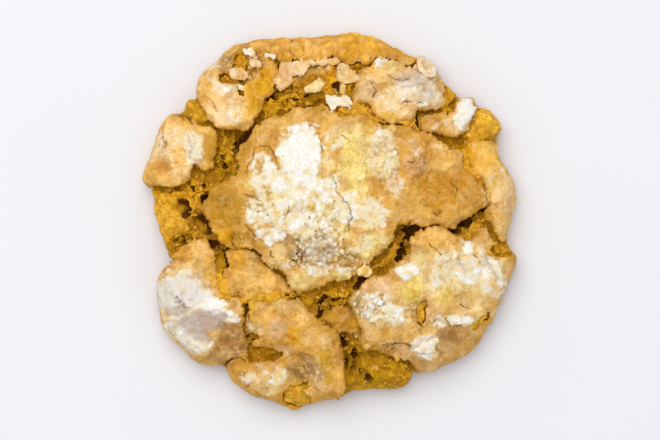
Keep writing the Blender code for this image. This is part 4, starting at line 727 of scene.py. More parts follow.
def relief(at, bare):
    """Height of lobes and fissures over the smooth dough. Bare leaves out the thickness of the crust."""
    ragged, swellings = raggedness(at), coarse_lumps(at)
    open_share, depth = windows(at, ragged)
    height = -FISSURE_DEPTH + CRUMB["rough"] * swellings
    for name, (kind, level, _) in LOBES.items():
        inside = signed_distance(at, SKIN_OUTLINES[name]) + ragged
        wall = (FISSURE_DEPTH + level) * ramp(-inside / WALL_WIDTH)
        top = lobe_top(kind, level, inside, swellings)
        if bare and kind is CRUST:
            wall = (FISSURE_DEPTH + level) * ramp((OVERHANG - inside) / WALL_WIDTH)
            sunk = CRUST_THICKNESS + (BODY_GAP + DOUGHY.get(name, 0)) * ramp((inside - OVERHANG) / 1.5)
            top -= sunk + ramp(1.5 * open_share) * (depth - sunk)
        height = np.where(inside > -WALL_WIDTH, np.maximum(height, top - wall), height)
    return height - pits(at, ragged) - (GAP_DEPTH * gap_share(at) if bare else 0)


def rim_heights():
    """Relief all round the widest part of the rim, by bearing."""
    bearing = np.linspace(-math.pi, math.pi, 1440, endpoint=False)
    along = rim_radius(bearing) - RIM_ROUNDING + UPPER_ARC
    return bearing, relief(along[:, None] * np.stack([np.cos(bearing), np.sin(bearing)], 1), False)


RIM_RELIEF = rim_heights()


def on_dough(at, lift):
    """Places over the rolled-out skin, in millimetres. The rim keeps its outline."""
    along, bearing = np.hypot(*at.T), np.arctan2(at[:, 1], at[:, 0])
    radius, height, normal = dome(along, bearing)
    near_rim = ramp((along - rim_radius(bearing) + RIM_ROUNDING + 1) / UPPER_ARC)
    at_rim = np.interp(bearing, *RIM_RELIEF, period=2 * math.pi)
    lift = (lift - at_rim * near_rim) * ramp(height / RIM_HEIGHT)
    radius = radius + lift * normal[:, 0]
    height = np.maximum(height + lift * normal[:, 1], 0.0)
    return np.stack([radius * np.cos(bearing) - MIDDLE[0], radius * np.sin(bearing) - MIDDLE[1], height], 1)


def linear(hex_colour):
    """A screen colour as light."""
    parts = np.array([int(hex_colour[i : i + 2], 16) / 255 for i in (1, 3, 5)])
    return np.where(parts <= 0.04045, parts / 12.92, ((parts + 0.055) / 1.055) ** 2.4)


TINTS = {name: linear(value) for name, value in COLOURS.items()}


def mixed(colour, name, share):
    return colour + share[:, None] * (TINTS[name] - colour)


def painted(at, colour, patches):
    """Colour at each point of the skin once the patches lie over it, soft with a broken edge."""
    edge = 0.35 * wobble(at, 2.2, 21.0) + 0.22 * wobble(at, 0.9, 23.0) + 0.1 * wobble(at, 0.45, 25.0)
    for name, x, y, across, up, turn, strength in patches:
        inside = 1.25 - oval(at, x, y, across, up, turn) + edge
        colour = mixed(colour, name, strength * (0.5 * ramp(1.7 * inside) + 0.5 * ramp(9 * (inside - 0.25))))
    return colour


def sugared(at):
    """Amount of powdered sugar at each point of the skin."""
    return spread_of(at, SUGAR, 41.0) - 0.6 * spread_of(at, THIN_SUGAR, 43.0)


def crust_layers(places):
    """How many of the crust's two thin top layers are left, and 1 along the edges where they flaked off."""
    spread = swell(places, 3.4, 71.0) + 0.6 * swell(places, 1.5, 72.0) + 0.35 * swell(places, 0.7, 73.0)
    upper, lower = spread - 0.12, spread + 0.38
    return ramp(upper * 9) + ramp(lower * 9), bell(upper, 0.035) + bell(lower, 0.035)


def ledges(at, ragged):
    """Steps between the layers inside a plate."""
    step = np.zeros(len(at))
    for rise, outline in LEDGES:
        inside = signed_distance(at, unrolled(closed_curve(outline)), 3.0) + 0.9 * ragged
        step += rise * ramp(inside / 0.5 + 0.5)
    return step


def crust_wrinkles(places):
    """Ridges and dimples of the crust, in millimetres."""
    ridges = 0.5 - np.abs(swell(places, 2.8, 53.0))
    fine = 0.5 - np.abs(swell(places, 1.1, 54.0))
    return 0.28 * ridges + 0.12 * fine + 0.06 * swell(places, 0.5, 51.0)


def nearest_of(at, routes):
    """Distance from the nearest of some wandering lines, up to 2 mm."""
    nearest, shifted = np.full(len(at), 2.0), wandering(at)
    for route in routes:
        nearest = np.minimum(nearest, route_distance(shifted, route, 2.0))
    return nearest


def store(mesh, name, values):
    """Keeps a value or a colour for each corner of the mesh."""
    if values.ndim == 2:
        kept = mesh.attributes.new(name, "FLOAT_COLOR", "POINT")
        kept.data.foreach_set("color", np.hstack([values, np.ones((len(values), 1))]).ravel())
    else:
        kept = mesh.attributes.new(name, "FLOAT", "POINT")
        kept.data.foreach_set("value", values)


def corner_places(mesh):
    places = np.empty(len(mesh.vertices) * 3)
    mesh.vertices.foreach_get("co", places)
    return places.reshape(-1, 3)


def move_corners(mesh, places):
    mesh.vertices.foreach_set("co", places.ravel())
    mesh.update()


def corner_normals(mesh):
    normals = np.empty(len(mesh.vertices) * 3)
    mesh.vertex_normals.foreach_get("vector", normals)
    return normals.reshape(-1, 3)


def as_piece(name, mesh, material, sharp_angle=50):
    """A finished piece at the origin, on the cookie's one body."""
    mesh.materials.clear()
    mesh.materials.append(material)
    mesh.shade_smooth()
    mesh.set_sharp_from_angle(angle=math.radians(sharp_angle))
    piece = bpy.data.objects.new(name, mesh)
    bpy.context.scene.collection.objects.link(piece)
    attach(piece, "root")
    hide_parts("cookie")
    return piece


class Nodes:
    """Short names for making a material's nodes."""

    def __init__(self, name):
        self.material = bpy.data.materials.new(name)
        self.material.use_nodes = True
        self.tree = self.material.node_tree
        self.surface = self.tree.nodes["Principled BSDF"]
        self.place = self.new("ShaderNodeTexCoord").outputs["Object"]

    def new(self, kind, **settings):
        node = self.tree.nodes.new(kind)
        for key, value in settings.items():
            setattr(node, key, value)
        return node

    def join(self, value, socket):
        if isinstance(value, bpy.types.NodeSocket):
            self.tree.links.new(value, socket)
        else:
            socket.default_value = value

    def attribute(self, name, output="Fac"):
        return self.new("ShaderNodeAttribute", attribute_name=name).outputs[output]

    def noise(self, size_mm, detail=4.0, roughness=0.55, seed=0.0):
        """Noise whose bumps are about that size across, from 0 to 1."""
        node = self.new("ShaderNodeTexNoise", noise_dimensions="4D")
        self.join(self.place, node.inputs["Vector"])
        node.inputs["Scale"].default_value = 1000 / size_mm
        node.inputs["W"].default_value = seed
        node.inputs["Detail"].default_value = detail
        node.inputs["Roughness"].default_value = roughness
        return node.outputs["Fac"]

    def cells(self, size_mm, feature, warp, output="Distance"):
        """Distance in cells of that size, whose borders wander, or a random shade for each cell."""
        drift = self.new("ShaderNodeTexNoise")
        self.join(self.place, drift.inputs["Vector"])
        drift.inputs["Scale"].default_value = 2000 / size_mm
        moved = self.new("ShaderNodeVectorMath", operation="MULTIPLY_ADD")
        self.join(drift.outputs["Color"], moved.inputs[0])
        moved.inputs[1].default_value = [warp * size_mm * MM] * 3
        self.join(self.place, moved.inputs[2])
        node = self.new("ShaderNodeTexVoronoi", feature=feature)
        self.join(moved.outputs[0], node.inputs["Vector"])
        node.inputs["Scale"].default_value = 1000 / size_mm
        return node.outputs[output]

    def math(self, operation, a, b):
        node = self.new("ShaderNodeMath", operation=operation)
        self.join(a, node.inputs[0])
        self.join(b, node.inputs[1])
        return node.outputs[0]

    def between(self, value, low, high, to_low=0.0, to_high=1.0):
        """The value's place between low and high, smooth, as a value from to_low to to_high."""
        node = self.new("ShaderNodeMapRange", interpolation_type="SMOOTHSTEP")
        for socket, given in zip(node.inputs, (value, low, high, to_low, to_high)):
            self.join(given, socket)
        return node.outputs[0]

    def mix(self, share, a, b, blend="MIX"):
        node = self.new("ShaderNodeMix", data_type="RGBA", blend_type=blend)
        self.join(share, node.inputs["Factor"])
        for value, socket in ((a, node.inputs[6]), (b, node.inputs[7])):
            self.join(value if isinstance(value, bpy.types.NodeSocket) else (*value, 1.0), socket)
        return node.outputs[2]

    def bump(self, height, depth_mm, under=None):
        node = self.new("ShaderNodeBump")
        node.inputs["Distance"].default_value = depth_mm * MM
        self.join(height, node.inputs["Height"])
        if under is not None:
            self.join(under, node.inputs["Normal"])
        return node.outputs["Normal"]

    def finish(self, colour, roughness, normal):
        """Joins what the nodes made to the surface."""
        for value, socket in ((colour, "Base Color"), (roughness, "Roughness"), (normal, "Normal")):
            self.join(value, self.surface.inputs[socket])
        return self.material

    def soften(self, shine, weight, depth_mm, radius=None):
        """Sets how much the surface shines, and how far light soaks into it."""
        self.surface.inputs["Specular IOR Level"].default_value = shine
        self.surface.inputs["Subsurface Weight"].default_value = weight
        self.surface.inputs["Subsurface Scale"].default_value = depth_mm * MM
        if radius is not None:
            self.surface.inputs["Subsurface Radius"].default_value = radius


def crumb_material():
    """Golden crumb in its painted colour, browner at the foot, with painted shade: olive and brown down in
    the fissures and in the seams between lumps, dark in pores, down the narrow gaps and by the plates'
    walls.
    """
    look = Nodes("crumb")
    deep, seam, dark = look.attribute("deep"), look.attribute("seam"), look.attribute("dark")
    colour = look.attribute("tint", "Color")
    patch = look.between(look.noise(3.2, 3, seed=1), 0.4, 0.6, 0.0, 0.4)
    colour = look.mix(patch, colour, linear("#C98E0C"))
    grain = look.between(look.noise(0.8, 4, 0.6, seed=2), 0.5, 0.62, 0.0, 0.55)
    colour = look.mix(grain, colour, linear("#EDB92E"))
    # Painted shade: olive, darker the deeper the crumb lies in a fissure.
    colour = look.mix(look.between(deep, 0.55, 1.0, 0.0, 0.6), colour, linear("#A87806"))
    # Painted shade in the seams between lumps.
    colour = look.mix(look.between(seam, 0.0, 0.4, 0.6, 0.0), colour, linear("#965C06"))
    # Painted shade: dark pores, small holes that lie in shade.
    pores = look.between(look.noise(0.6, 2, seed=4), 0.27, 0.34, 0.6, 0.0)
    colour = look.mix(pores, colour, linear("#6B3C06"))
    # Painted shade down the narrow gaps and at the foot of the plates' walls.
    colour = look.mix(look.between(dark, 0.2, 0.95, 0.0, 0.95), colour, linear("#5C2E08"))
    foot = look.between(look.attribute("foot"), 0.2, 0.9)
    baked = look.between(look.noise(2.4, 5, 0.65, seed=6), 0.35, 0.65)
    colour = look.mix(foot, colour, look.mix(baked, linear("#C58A3A"), linear("#9C5F22")))
    look.soften(0.1, 0.12, 1.2, (1.0, 0.6, 0.2))
    roughness = look.between(look.noise(0.5, 2, seed=5), 0.35, 0.7, 0.4, 0.8)
    fine = look.bump(look.noise(0.35, 4, 0.65, seed=7), 0.08)
    return look.finish(colour, roughness, look.bump(look.noise(0.9, 4, 0.7, seed=8), 0.24, under=fine))


def baked_mottling(look, colour, busy):
    """Blotches and specks of lighter and darker crust."""
    mottle = look.noise(2.0, 5, 0.62, seed=11)
    light = look.math("MULTIPLY", busy, look.between(mottle, 0.54, 0.64, 0.0, 0.5))
    colour = look.mix(light, colour, TINTS["straw"])
    dull = look.math("MULTIPLY", busy, look.between(mottle, 0.34, 0.45, 0.5, 0.0))
    colour = look.mix(dull, colour, linear("#A87830"))
    speckle = look.noise(0.5, 3, 0.6, seed=12)
    pale = look.math("MULTIPLY", busy, look.between(speckle, 0.62, 0.68, 0.0, 0.7))
    colour = look.mix(pale, colour, linear("#F0D8A2"))
    specks = look.math("MULTIPLY", busy, look.between(speckle, 0.31, 0.38, 0.9, 0.0))
    colour = look.mix(specks, colour, linear("#7A4A18"))
    rosy = look.between(look.noise(2.8, 5, 0.62, seed=25), 0.52, 0.6, 0.0, 0.4)
    colour = look.mix(rosy, colour, linear("#E9BF88"))
    golden = look.between(look.noise(3.6, 5, 0.62, seed=26), 0.53, 0.6, 0.0, 0.45)
    colour = look.mix(golden, colour, linear("#D49B33"))
    flecks = look.between(look.noise(1.2, 4, 0.65, seed=27), 0.61, 0.66, 0.0, 0.4)
    return look.mix(flecks, colour, linear("#AD7733"))


def leafy_shades(look, colour, busy, leaves, scales):
    """Thin leaves and scales of crust, each a little lighter or darker than the next."""
    colour = look.mix(look.between(leaves, 0.56, 0.6), colour, (1.08, 1.1, 1.12), "MULTIPLY")
    colour = look.mix(look.between(leaves, 0.38, 0.42, 1.0, 0.0), colour, (0.92, 0.86, 0.74), "MULTIPLY")
    light_scales = look.math("MULTIPLY", busy, look.between(scales, 0.6, 0.64))
    colour = look.mix(light_scales, colour, (1.12, 1.14, 1.2), "MULTIPLY")
    dark_scales = look.math("MULTIPLY", busy, look.between(scales, 0.34, 0.38, 1.0, 0.0))
    return look.mix(dark_scales, colour, (0.88, 0.8, 0.62), "MULTIPLY")


def fine_crazing(look, colour):
    """A net of the finest hairlines, in places."""
    lines = look.between(look.cells(4.2, "DISTANCE_TO_EDGE", 0.6), 0.0, 0.03, 1.0, 0.0)
    places = look.between(look.noise(3.5, 3, seed=18), 0.5, 0.58, 0.0, 0.3)
    return look.mix(look.math("MULTIPLY", lines, places), colour, linear("#8A5A22"))


def powdered(look, colour, sugar, grains):
    """Powdered sugar, white where it lies thick and yellowish where it is thin."""
    powder = look.mix(look.between(look.noise(1.1, 4, 0.6, seed=19), 0.45, 0.6, 0.0, 0.5),
                      TINTS["white"], linear("#EAD9B4"))
    thin = look.math("MULTIPLY", look.between(sugar, 0.85, 1.1, 1.0, 0.0),
                     look.between(look.noise(2.2, 4, 0.55, seed=24), 0.51, 0.55, 0.0, 0.6))
    powder = look.mix(thin, powder, linear("#EBDB9A"))
    first, thick = look.between(grains, 0.52, 0.68, 0.0, 0.5), look.between(grains, 0.6, 1.0, 0.0, 0.45)
    return look.mix(look.math("ADD", first, thick), colour, powder)


def crust_material():
    """Baked crust in its painted colour, under powdered sugar that crumbles at its edges, with painted shade
    down the cracks and grey painted shade on the sugar.
    """
    look = Nodes("crust")
    sugar, broken = look.attribute("sugar"), look.attribute("broken")
    busy = look.between(broken, 0.0, 0.8, 0.5, 1.0)
    leaves, scales = look.cells(3.6, "F1", 0.6, "Color"), look.cells(1.5, "F1", 0.6, "Color")
    colour = baked_mottling(look, look.attribute("tint", "Color"), busy)
    colour = leafy_shades(look, colour, busy, leaves, scales)
    haze = look.math("ADD", sugar, look.between(look.noise(2.2, 5, 0.6, seed=16), 0.35, 0.65, -0.3, 0.3))
    colour = look.mix(look.between(haze, 0.25, 0.75, 0.0, 0.8), colour, TINTS["haze"])
    colour = fine_crazing(look, colour)
    grains = look.math("ADD", sugar, look.between(look.noise(1.7, 6, 0.6, seed=13), 0.3, 0.7, -0.42, 0.42))
    colour = powdered(look, colour, sugar, grains)
    # Painted shade, grey on the sugar in patches and down the creases.
    painted_grey_shade = look.between(look.attribute("painted_grey_shade"), 0.05, 0.9, 0.0, 0.85)
    colour = look.mix(painted_grey_shade, colour, linear("#BBA697"))
    torn = look.between(look.attribute("torn"), 0.1, 0.7, 0.0, 0.9)
    colour = look.mix(torn, colour, linear("#CF9434"))
    # Painted shade: a dark line down each crack.
    colour = look.mix(look.attribute("crack"), colour, linear("#4E2C10"))
    look.soften(0.1, 0.08, 1.0, (1.0, 0.7, 0.4))
    fine = look.bump(look.noise(0.35, 4, 0.7, seed=14), 0.06)
    layered = look.bump(leaves, 0.12, under=look.bump(scales, 0.05, under=fine))
    wrinkled = look.bump(look.noise(1.6, 5, 0.72, seed=15), 0.36, under=layered)
    grainy = look.bump(look.between(grains, 0.5, 0.85), 0.06, under=wrinkled)
    return look.finish(colour, look.between(grains, 0.4, 0.8, 0.58, 0.9), grainy)


def speck_material(name, light, dark):
    """Small loose bits, each in its own shade."""
    look = Nodes(name)
    colour = look.mix(look.between(look.noise(0.8, 3, seed=21), 0.35, 0.65), linear(light), linear(dark))
    look.soften(0.2, 0.15, 0.8)
    roughness = look.between(look.noise(0.4, 2, seed=22), 0.3, 0.7, 0.5, 0.85)
    return look.finish(colour, roughness, look.bump(look.noise(0.25, 3, 0.6, seed=23), 0.06))


def skin_of_sphere(directions):
    """Distance along the skin and bearing for each direction from the middle of the dough."""
    bearing = np.arctan2(directions[:, 1], directions[:, 0])
    fall = np.arccos(np.clip(directions[:, 2], -1.0, 1.0))
    reach = rim_radius(bearing) - RIM_ROUNDING + UPPER_ARC + LOWER_ARC
    return reach * np.clip(fall / FOOT_ANGLE, 0.0, 1.0), bearing, fall


def flat_skin(shape):
    directions = np.array([corner.co.normalized() for corner in shape.verts])
    along, bearing, fall = skin_of_sphere(directions)
    return along[:, None] * np.stack([np.cos(bearing), np.sin(bearing)], 1), bearing, fall


def cover_of_crust(at, ragged=0.0):
    """How far each point lies inside the outline of a plate. It is negative on open crumb."""
    covered = np.full(len(at), -FAR)
    for name in PLATE_COLOURS:
        covered = np.maximum(covered, signed_distance(at, SKIN_OUTLINES[name]) + ragged)
    return covered


def make_dough(material):
    """The body of crumb. Its mesh is finer wherever no crust covers it."""
    shape = bmesh.new()
    bmesh.ops.create_icosphere(shape, subdivisions=SPHERE_LEVEL, radius=1.0)
    at, _, fall = flat_skin(shape)
    bare = (cover_of_crust(at) < 0.9) & (fall < FOOT_ANGLE)
    for x, y, across, up, turn, _ in WINDOWS:
        bare |= oval(at, x, y, across, up, turn) < 1.5
    shape.verts.ensure_lookup_table()
    edges = [edge for edge in shape.edges if bare[edge.verts[0].index] and bare[edge.verts[1].index]]
    bmesh.ops.subdivide_edges(shape, edges=edges, cuts=1, use_grid_fill=True)
    bmesh.ops.triangulate(shape, faces=shape.faces)
    at, bearing, fall = flat_skin(shape)
    height = relief(at, True)
    places = on_dough(at, height)
    rim = rim_radius(bearing)
    under = fall > FOOT_ANGLE
    foot = (rim - FOOT_INSET) * (math.pi - fall) / (math.pi - FOOT_ANGLE)
    flat = np.stack([foot * np.cos(bearing) - MIDDLE[0], foot * np.sin(bearing) - MIDDLE[1], 0 * foot], 1)
    places[under] = flat[under]
    mesh = bpy.data.meshes.new("dough")
    shape.to_mesh(mesh)
    shape.free()
    move_corners(mesh, places)
    # Crumb: rough lumps of two sizes with torn pores between them
    drift = np.stack([swell(places, 1.6, seed) for seed in (91.0, 92.0, 93.0)], 1)
    big, small = lumps(places + 0.9 * drift, 2.9, 3.0), lumps(places + 0.7 * drift, 1.25, 9.0)
    grit = swell(places, 0.8, 33.0) + 0.6 * swell(places, 0.4, 35.0)
    up = ramp(places[:, 2] / 1.5)
    smooth = [patch[1:] for patch in CRUMB_PATCHES if patch[0] in ("honey", "bright_gold")]
    ragged = raggedness(at)
    holes = windows(at, ragged)[0]
    smooth_floor = (1 - 0.6 * spread_of(at, smooth, 95.0)) * (1 - 0.35 * ramp(2 * holes))
    side = 0.4 + 0.6 * ramp((places[:, 2] - 4.0) / 4.0)
    carve = (1.0 * (1 - big) + 0.32 * (1 - small) + 0.16 * grit) * up * smooth_floor * side
    carve += 0.12 * (1 - big) * (1 - up) * (places[:, 2] > 0.01)
    places -= corner_normals(mesh) * carve[:, None]
    places[:, 2] = np.maximum(places[:, 2], 0.0)
    move_corners(mesh, places)
    covered = cover_of_crust(at, ragged)
    deep = np.clip(-height / FISSURE_DEPTH, 0, 1.6)
    open_share = np.maximum(ramp(-covered * 3), ramp(holes - 0.2))
    # Painted shade: deep, seam and dark make the crumb darker down the fissures, in the seams between lumps,
    # down the narrow gaps and at the foot of the plates' walls.
    by_wall = ramp(1 + covered / 0.6) * ramp((deep - 0.45) * 3)
    store(mesh, "deep", deep)
    store(mesh, "seam", 0.6 * big + 0.4 * small)
    store(mesh, "dark", np.clip(gap_share(at) + 0.2 * by_wall, 0, 1))
    store(mesh, "open", open_share)
    plain = np.tile(TINTS["crumb"], (len(at), 1))
    store(mesh, "tint", painted(at, plain, CRUMB_PATCHES) * (1 + 0.12 * grit)[:, None])
    store(mesh, "foot", 1 - ramp(places[:, 2] / 3.0))
    return as_piece("dough", mesh, material)


def skin_shell(outline, cell, inside_of, fine_near=None):
    """A flat sheet of squares cut to where inside_of is above 0, closed below by a second sheet at -1."""
    low, high = outline.min(0) - 1.5, outline.max(0) + 1.5
    across, up = np.ceil((high - low) / cell).astype(int)
    sheet = bmesh.new()
    bmesh.ops.create_grid(sheet, x_segments=across, y_segments=up, size=0.5)
    bmesh.ops.scale(sheet, vec=(across * cell, up * cell, 1), verts=sheet.verts)
    bmesh.ops.translate(sheet, vec=(*((low + high) / 2), 0), verts=sheet.verts)
    inside = inside_of(flat_places(sheet))
    sheet.faces.ensure_lookup_table()
    outer = [face for face in sheet.faces if sum(inside[c.index] > 0 for c in face.verts) < 3]
    bmesh.ops.delete(sheet, geom=outer, context="FACES")
    if fine_near is not None:
        near = fine_near(flat_places(sheet))
        edges = [edge for edge in sheet.edges if near[edge.verts[0].index] and near[edge.verts[1].index]]
        if edges:
            bmesh.ops.subdivide_edges(sheet, edges=edges, cuts=1, use_grid_fill=True)
    # The stepped edge is drawn onto the outline
    for _ in range(2):
        edge_corners = [corner for corner in sheet.verts if corner.is_boundary]
        at = np.array([corner.co.xy for corner in edge_corners])
        nudge = 0.05
        here = inside_of(at)
        slope = np.stack([inside_of(at + (nudge, 0)) - here, inside_of(at + (0, nudge)) - here], 1) / nudge
        steep = np.maximum((slope * slope).sum(1), 0.25)
        moves = np.clip(-slope * (here / steep)[:, None], -cell * 0.7, cell * 0.7)
        for corner, move in zip(edge_corners, moves):
            corner.co.x += move[0]
            corner.co.y += move[1]
    lower = bmesh.ops.extrude_face_region(sheet, geom=sheet.faces[:], use_keep_orig=True)
    corners = [item for item in lower["geom"] if isinstance(item, bmesh.types.BMVert)]
    bmesh.ops.translate(sheet, vec=(0, 0, -1), verts=corners)
    bmesh.ops.recalc_face_normals(sheet, faces=sheet.faces)
    # Its side faces come in another order on each run, and loose bits are placed by that order
    sheet.verts.sort(key=lambda corner: place_order(corner.co))
    sheet.faces.sort(key=lambda face: place_order(face.calc_center_median()))
    return sheet


def place_order(place):
    """A number by which the parts of a flat sheet are sorted: by layer, then row, then along the row."""
    return 1e6 * place.z + 1e3 * place.y + place.x


def flat_places(sheet):
    sheet.verts.index_update()
    return np.array([corner.co.xy for corner in sheet.verts])


def by_a_crack(at):
    return nearest_of(at, CRACKS) < CRACK_CELLS


class Plate:
    """One plate of crust: a thin broken shell whose edges curl up a little."""

    def __init__(self, name):
        self.name = name
        self.level, self.outline = LOBES[name][1], SKIN_OUTLINES[name]
        self.doughy = DOUGHY.get(name, 0.0)
        sheet = skin_shell(self.outline, CRUST_CELL, self.inside_of, by_a_crack)
        self.is_lower = np.array([corner.co.z < -0.5 for corner in sheet.verts])
        self.at = flat_places(sheet)
        self.mesh = bpy.data.meshes.new("crust_" + name)
        sheet.to_mesh(self.mesh)
        sheet.free()
        self.measure()

    def inside_of(self, at):
        """How far each point lies inside the plate's broken edge and clear of its holes."""
        ragged = raggedness(at)
        along, bearing = np.hypot(*at.T), np.arctan2(at[:, 1], at[:, 0])
        end = rim_radius(bearing) - RIM_ROUNDING + UPPER_ARC + SKIRT_END * LOWER_ARC
        inside = np.minimum(signed_distance(at, self.outline) + ragged, end - along + 1.6 * ragged)
        return np.minimum(inside, 1.5 * (0.55 - windows(at, ragged)[0]))

    def measure(self):
        """Works out what the plate is like at each corner of its mesh."""
        at = self.at
        self.ragged = raggedness(at)
        self.inside = signed_distance(at, self.outline) + self.ragged
        self.from_edge = np.maximum(self.inside_of(at), 0)
        self.sugar, self.broken = sugared(at), spread_of(at, BROKEN, 45.0)
        self.crack, self.crease = nearest_of(at, CRACKS), nearest_of(at, CREASES)
        self.smooth = on_dough(at, np.zeros(len(at)))
        self.layers, flaked_edges = crust_layers(self.smooth)
        slab = ramp((self.sugar - SLAB_SUGAR) / 0.3)
        self.wrinkles = crust_wrinkles(self.smooth) * (1 - 0.7 * slab)
        self.flaked_edges = flaked_edges * (1 - slab)
        self.steps = ledges(at, self.ragged)
        self.big, self.small = lumps(self.smooth, 3.6, 14.0), lumps(self.smooth, 1.3, 15.0)
        rind_width = np.maximum(0.8 + 1.5 * wobble(at, 5.0, 93.0) + 0.6 * wobble(at, 1.1, 94.0), 0.05)
        self.rind = ramp(1.3 - self.inside / rind_width)

    def shape(self):
        """Moves the shell's outer and inner side to their heights over the dough."""
        at, from_edge, crease, small = self.at, self.from_edge, self.crease, self.small
        top = lobe_top(CRUST, self.level, self.inside, coarse_lumps(at)) - 0.6 * pits(at, self.ragged)
        top += EDGE_CURL * fade(from_edge, 0.7)
        top += 0.8 * self.steps + 0.45 * swell(self.smooth, 7.0, 13.0) - CRUST_SINK
        outer = top - 0.35 + self.wrinkles + 0.14 * self.layers - CRACK_DEPTH * bell(self.crack, CRACK_WIDTH)
        outer -= CREASE_DEPTH * bell(crease, CREASE_WIDTH) - 0.1 * bell(crease - 0.8, CREASE_WIDTH)
        lumpy = self.doughy * (0.3 + 0.7 * ramp((self.smooth[:, 2] - 5.0) / 4.0))
        outer -= lumpy * (0.9 * (0.7 - self.big) + 0.3 * (0.7 - small)) + self.broken * (0.45 - 0.75 * small)
        outer += np.clip(self.sugar - 0.35, 0, 0.8) * (0.08 + 0.14 * wobble(at, 1.4, 57.0))
        outer -= 0.2 * fade(from_edge, 0.3)
        bulk = ramp(from_edge / 1.2)
        inner = top - CRUST_THICKNESS - 0.9 * bulk - 0.1 - 0.8 * self.doughy * bulk
        move_corners(self.mesh, on_dough(at, np.where(self.is_lower, inner, outer)))

    def tint(self):
        """Colour of the crust, with a darker rind along the plate's edge and painted light and shade:
        lighter on the ridges of the wrinkles, darker in their dimples, along the edges of flaked layers and
        in the seams between lumps.
        """
        base = np.tile(TINTS[PLATE_COLOURS[self.name]], (len(self.at), 1))
        tint = painted(self.at, mixed(base, "rind", 0.8 * self.rind), PATCHES)
        tint = mixed(tint, "rind", 0.4 * self.rind)
        worn = ramp(1 - (self.layers + 1.2 * self.steps) / 1.4)
        tint = mixed(tint, "khaki", 0.3 * (1 - self.doughy) * worn)
        # Painted shade: toast-brown in the seams between the lumps of a doughy plate.
        tint = mixed(tint, "toast", 0.6 * self.doughy * (1 - self.big) ** 2)
        # Besides a random tone, painted light and shade: lighter on the ridges of the wrinkles, darker in
        # their dimples, along flaked edges and in the seams of broken lumps.
        shade = 1 + 0.1 * wobble(self.at, 3.0, 31.0) + 0.6 * (self.wrinkles - 0.1) - 0.3 * self.flaked_edges
        shade -= (0.55 * self.broken + 0.08 * self.doughy) * (1 - self.small)
        return np.clip(tint * shade[:, None], 0, 1)

    def paint(self):
        """Stores what the material reads."""
        at, broken, sugar = self.at, self.broken, self.sugar - 0.5 * self.rind
        # Painted shade: grey down the creases where there is sugar.
        crease_shade = 0.7 * bell(self.crease, CREASE_LINE) * ramp(3 * sugar)
        strength = np.clip(0.6 + 1.1 * wobble(at, 1.4, 89.0), 0.1, 1.0)
        store(self.mesh, "tint", self.tint())
        store(self.mesh, "sugar", sugar + 0.9 * broken * (self.small - 0.6))
        store(self.mesh, "broken", broken)
        store(self.mesh, "painted_grey_shade", np.maximum(spread_of(at, GREY_SHADE_PATCHES, 47.0), crease_shade))
        # Painted shade: a dark line down each crack, stronger in places.
        store(self.mesh, "crack", 0.95 * strength * bell(self.crack, CRACK_LINE))
        store(self.mesh, "torn", np.where(self.is_lower, 0.8, 0.45 * fade(self.from_edge, 0.28)))


def make_crust(name, material):
    plate = Plate(name)
    plate.shape()
    plate.paint()
    return as_piece("crust_" + name, plate.mesh, material, 60)


def make_flake(name, material):
    """A loose flake of crust that lies on the dough, tilted and bent."""
    colour, stand, points = FLAKES[name]
    outline = unrolled(closed_curve(points, 4))

    def inside_of(at):
        return signed_distance(at, outline) + 0.6 * raggedness(at * 1.3)

    sheet = skin_shell(outline, FLAKE_CELL, inside_of)
    is_lower = np.array([corner.co.z < -0.5 for corner in sheet.verts])
    at = flat_places(sheet)
    mesh = bpy.data.meshes.new("flake_" + name)
    sheet.to_mesh(mesh)
    sheet.free()
    from_edge = np.maximum(inside_of(at), 0)
    top = np.median(relief(outline, False)) + stand - 0.25
    top = top + 0.35 * wobble(at, 1.6, 61.0) + 0.12 * wobble(at, 0.6, 63.0) - 0.3 * fade(from_edge, 0.3)
    lift = np.where(is_lower, top - FLAKE_THICKNESS - 0.9 * ramp(from_edge / 0.7), top)
    move_corners(mesh, on_dough(at, lift))
    tint = np.tile(TINTS[colour], (len(at), 1)) * (1 + 0.16 * wobble(at, 0.9, 65.0))[:, None]
    browned = 0.7 * ramp(0.2 + 1.6 * wobble(at, 1.3, 67.0)) + 0.3 * fade(from_edge, 0.3)
    tint = mixed(tint, "light_tan", browned)
    store(mesh, "tint", np.clip(tint, 0, 1))
    store(mesh, "sugar", np.full(len(at), 0.55 if colour == "white" else 0.3))
    for kept, value in (("crack", 0.0), ("painted_grey_shade", 0.0), ("broken", 0.3)):
        store(mesh, kept, np.full(len(at), value))
    store(mesh, "torn", np.where(is_lower, 0.8, 0.0))
    return as_piece("flake_" + name, mesh, material, 60)


def random_vector(most):
    return Vector([rng.uniform(-most, most) for _ in range(3)])


def add_bit(batch, place, normal, size):
    """A small uneven lump, half pressed into the surface."""
    stretch = Matrix.Diagonal([rng.uniform(0.65, 1.3) * size for _ in range(3)]).to_4x4()
    turn = Matrix.Rotation(rng.uniform(0, math.tau), 4, random_vector(1))
    there = Matrix.Translation((place + normal * size * rng.uniform(-0.5, 0.2)) * MM)
    bit = bmesh.ops.create_icosphere(batch, subdivisions=1, radius=MM, matrix=there @ turn @ stretch)
    for corner in bit["verts"]:
        corner.co += random_vector(0.34) * size * MM


def scatter(name, material, spots, smallest, largest):
    """Many small bits pressed into the surface at the spots, as one piece."""
    mesh = bpy.data.meshes.new(name)
    joined = bmesh.new()
    for first in range(0, len(spots), BATCH):
        batch = bmesh.new()
        for place, normal in spots[first : first + BATCH]:
            add_bit(batch, place, normal, smallest + (largest - smallest) * rng.random() ** 2.5)
        batch.to_mesh(mesh)
        batch.free()
        joined.from_mesh(mesh)
    joined.to_mesh(mesh)
    joined.free()
    return as_piece(name, mesh, material, 35)


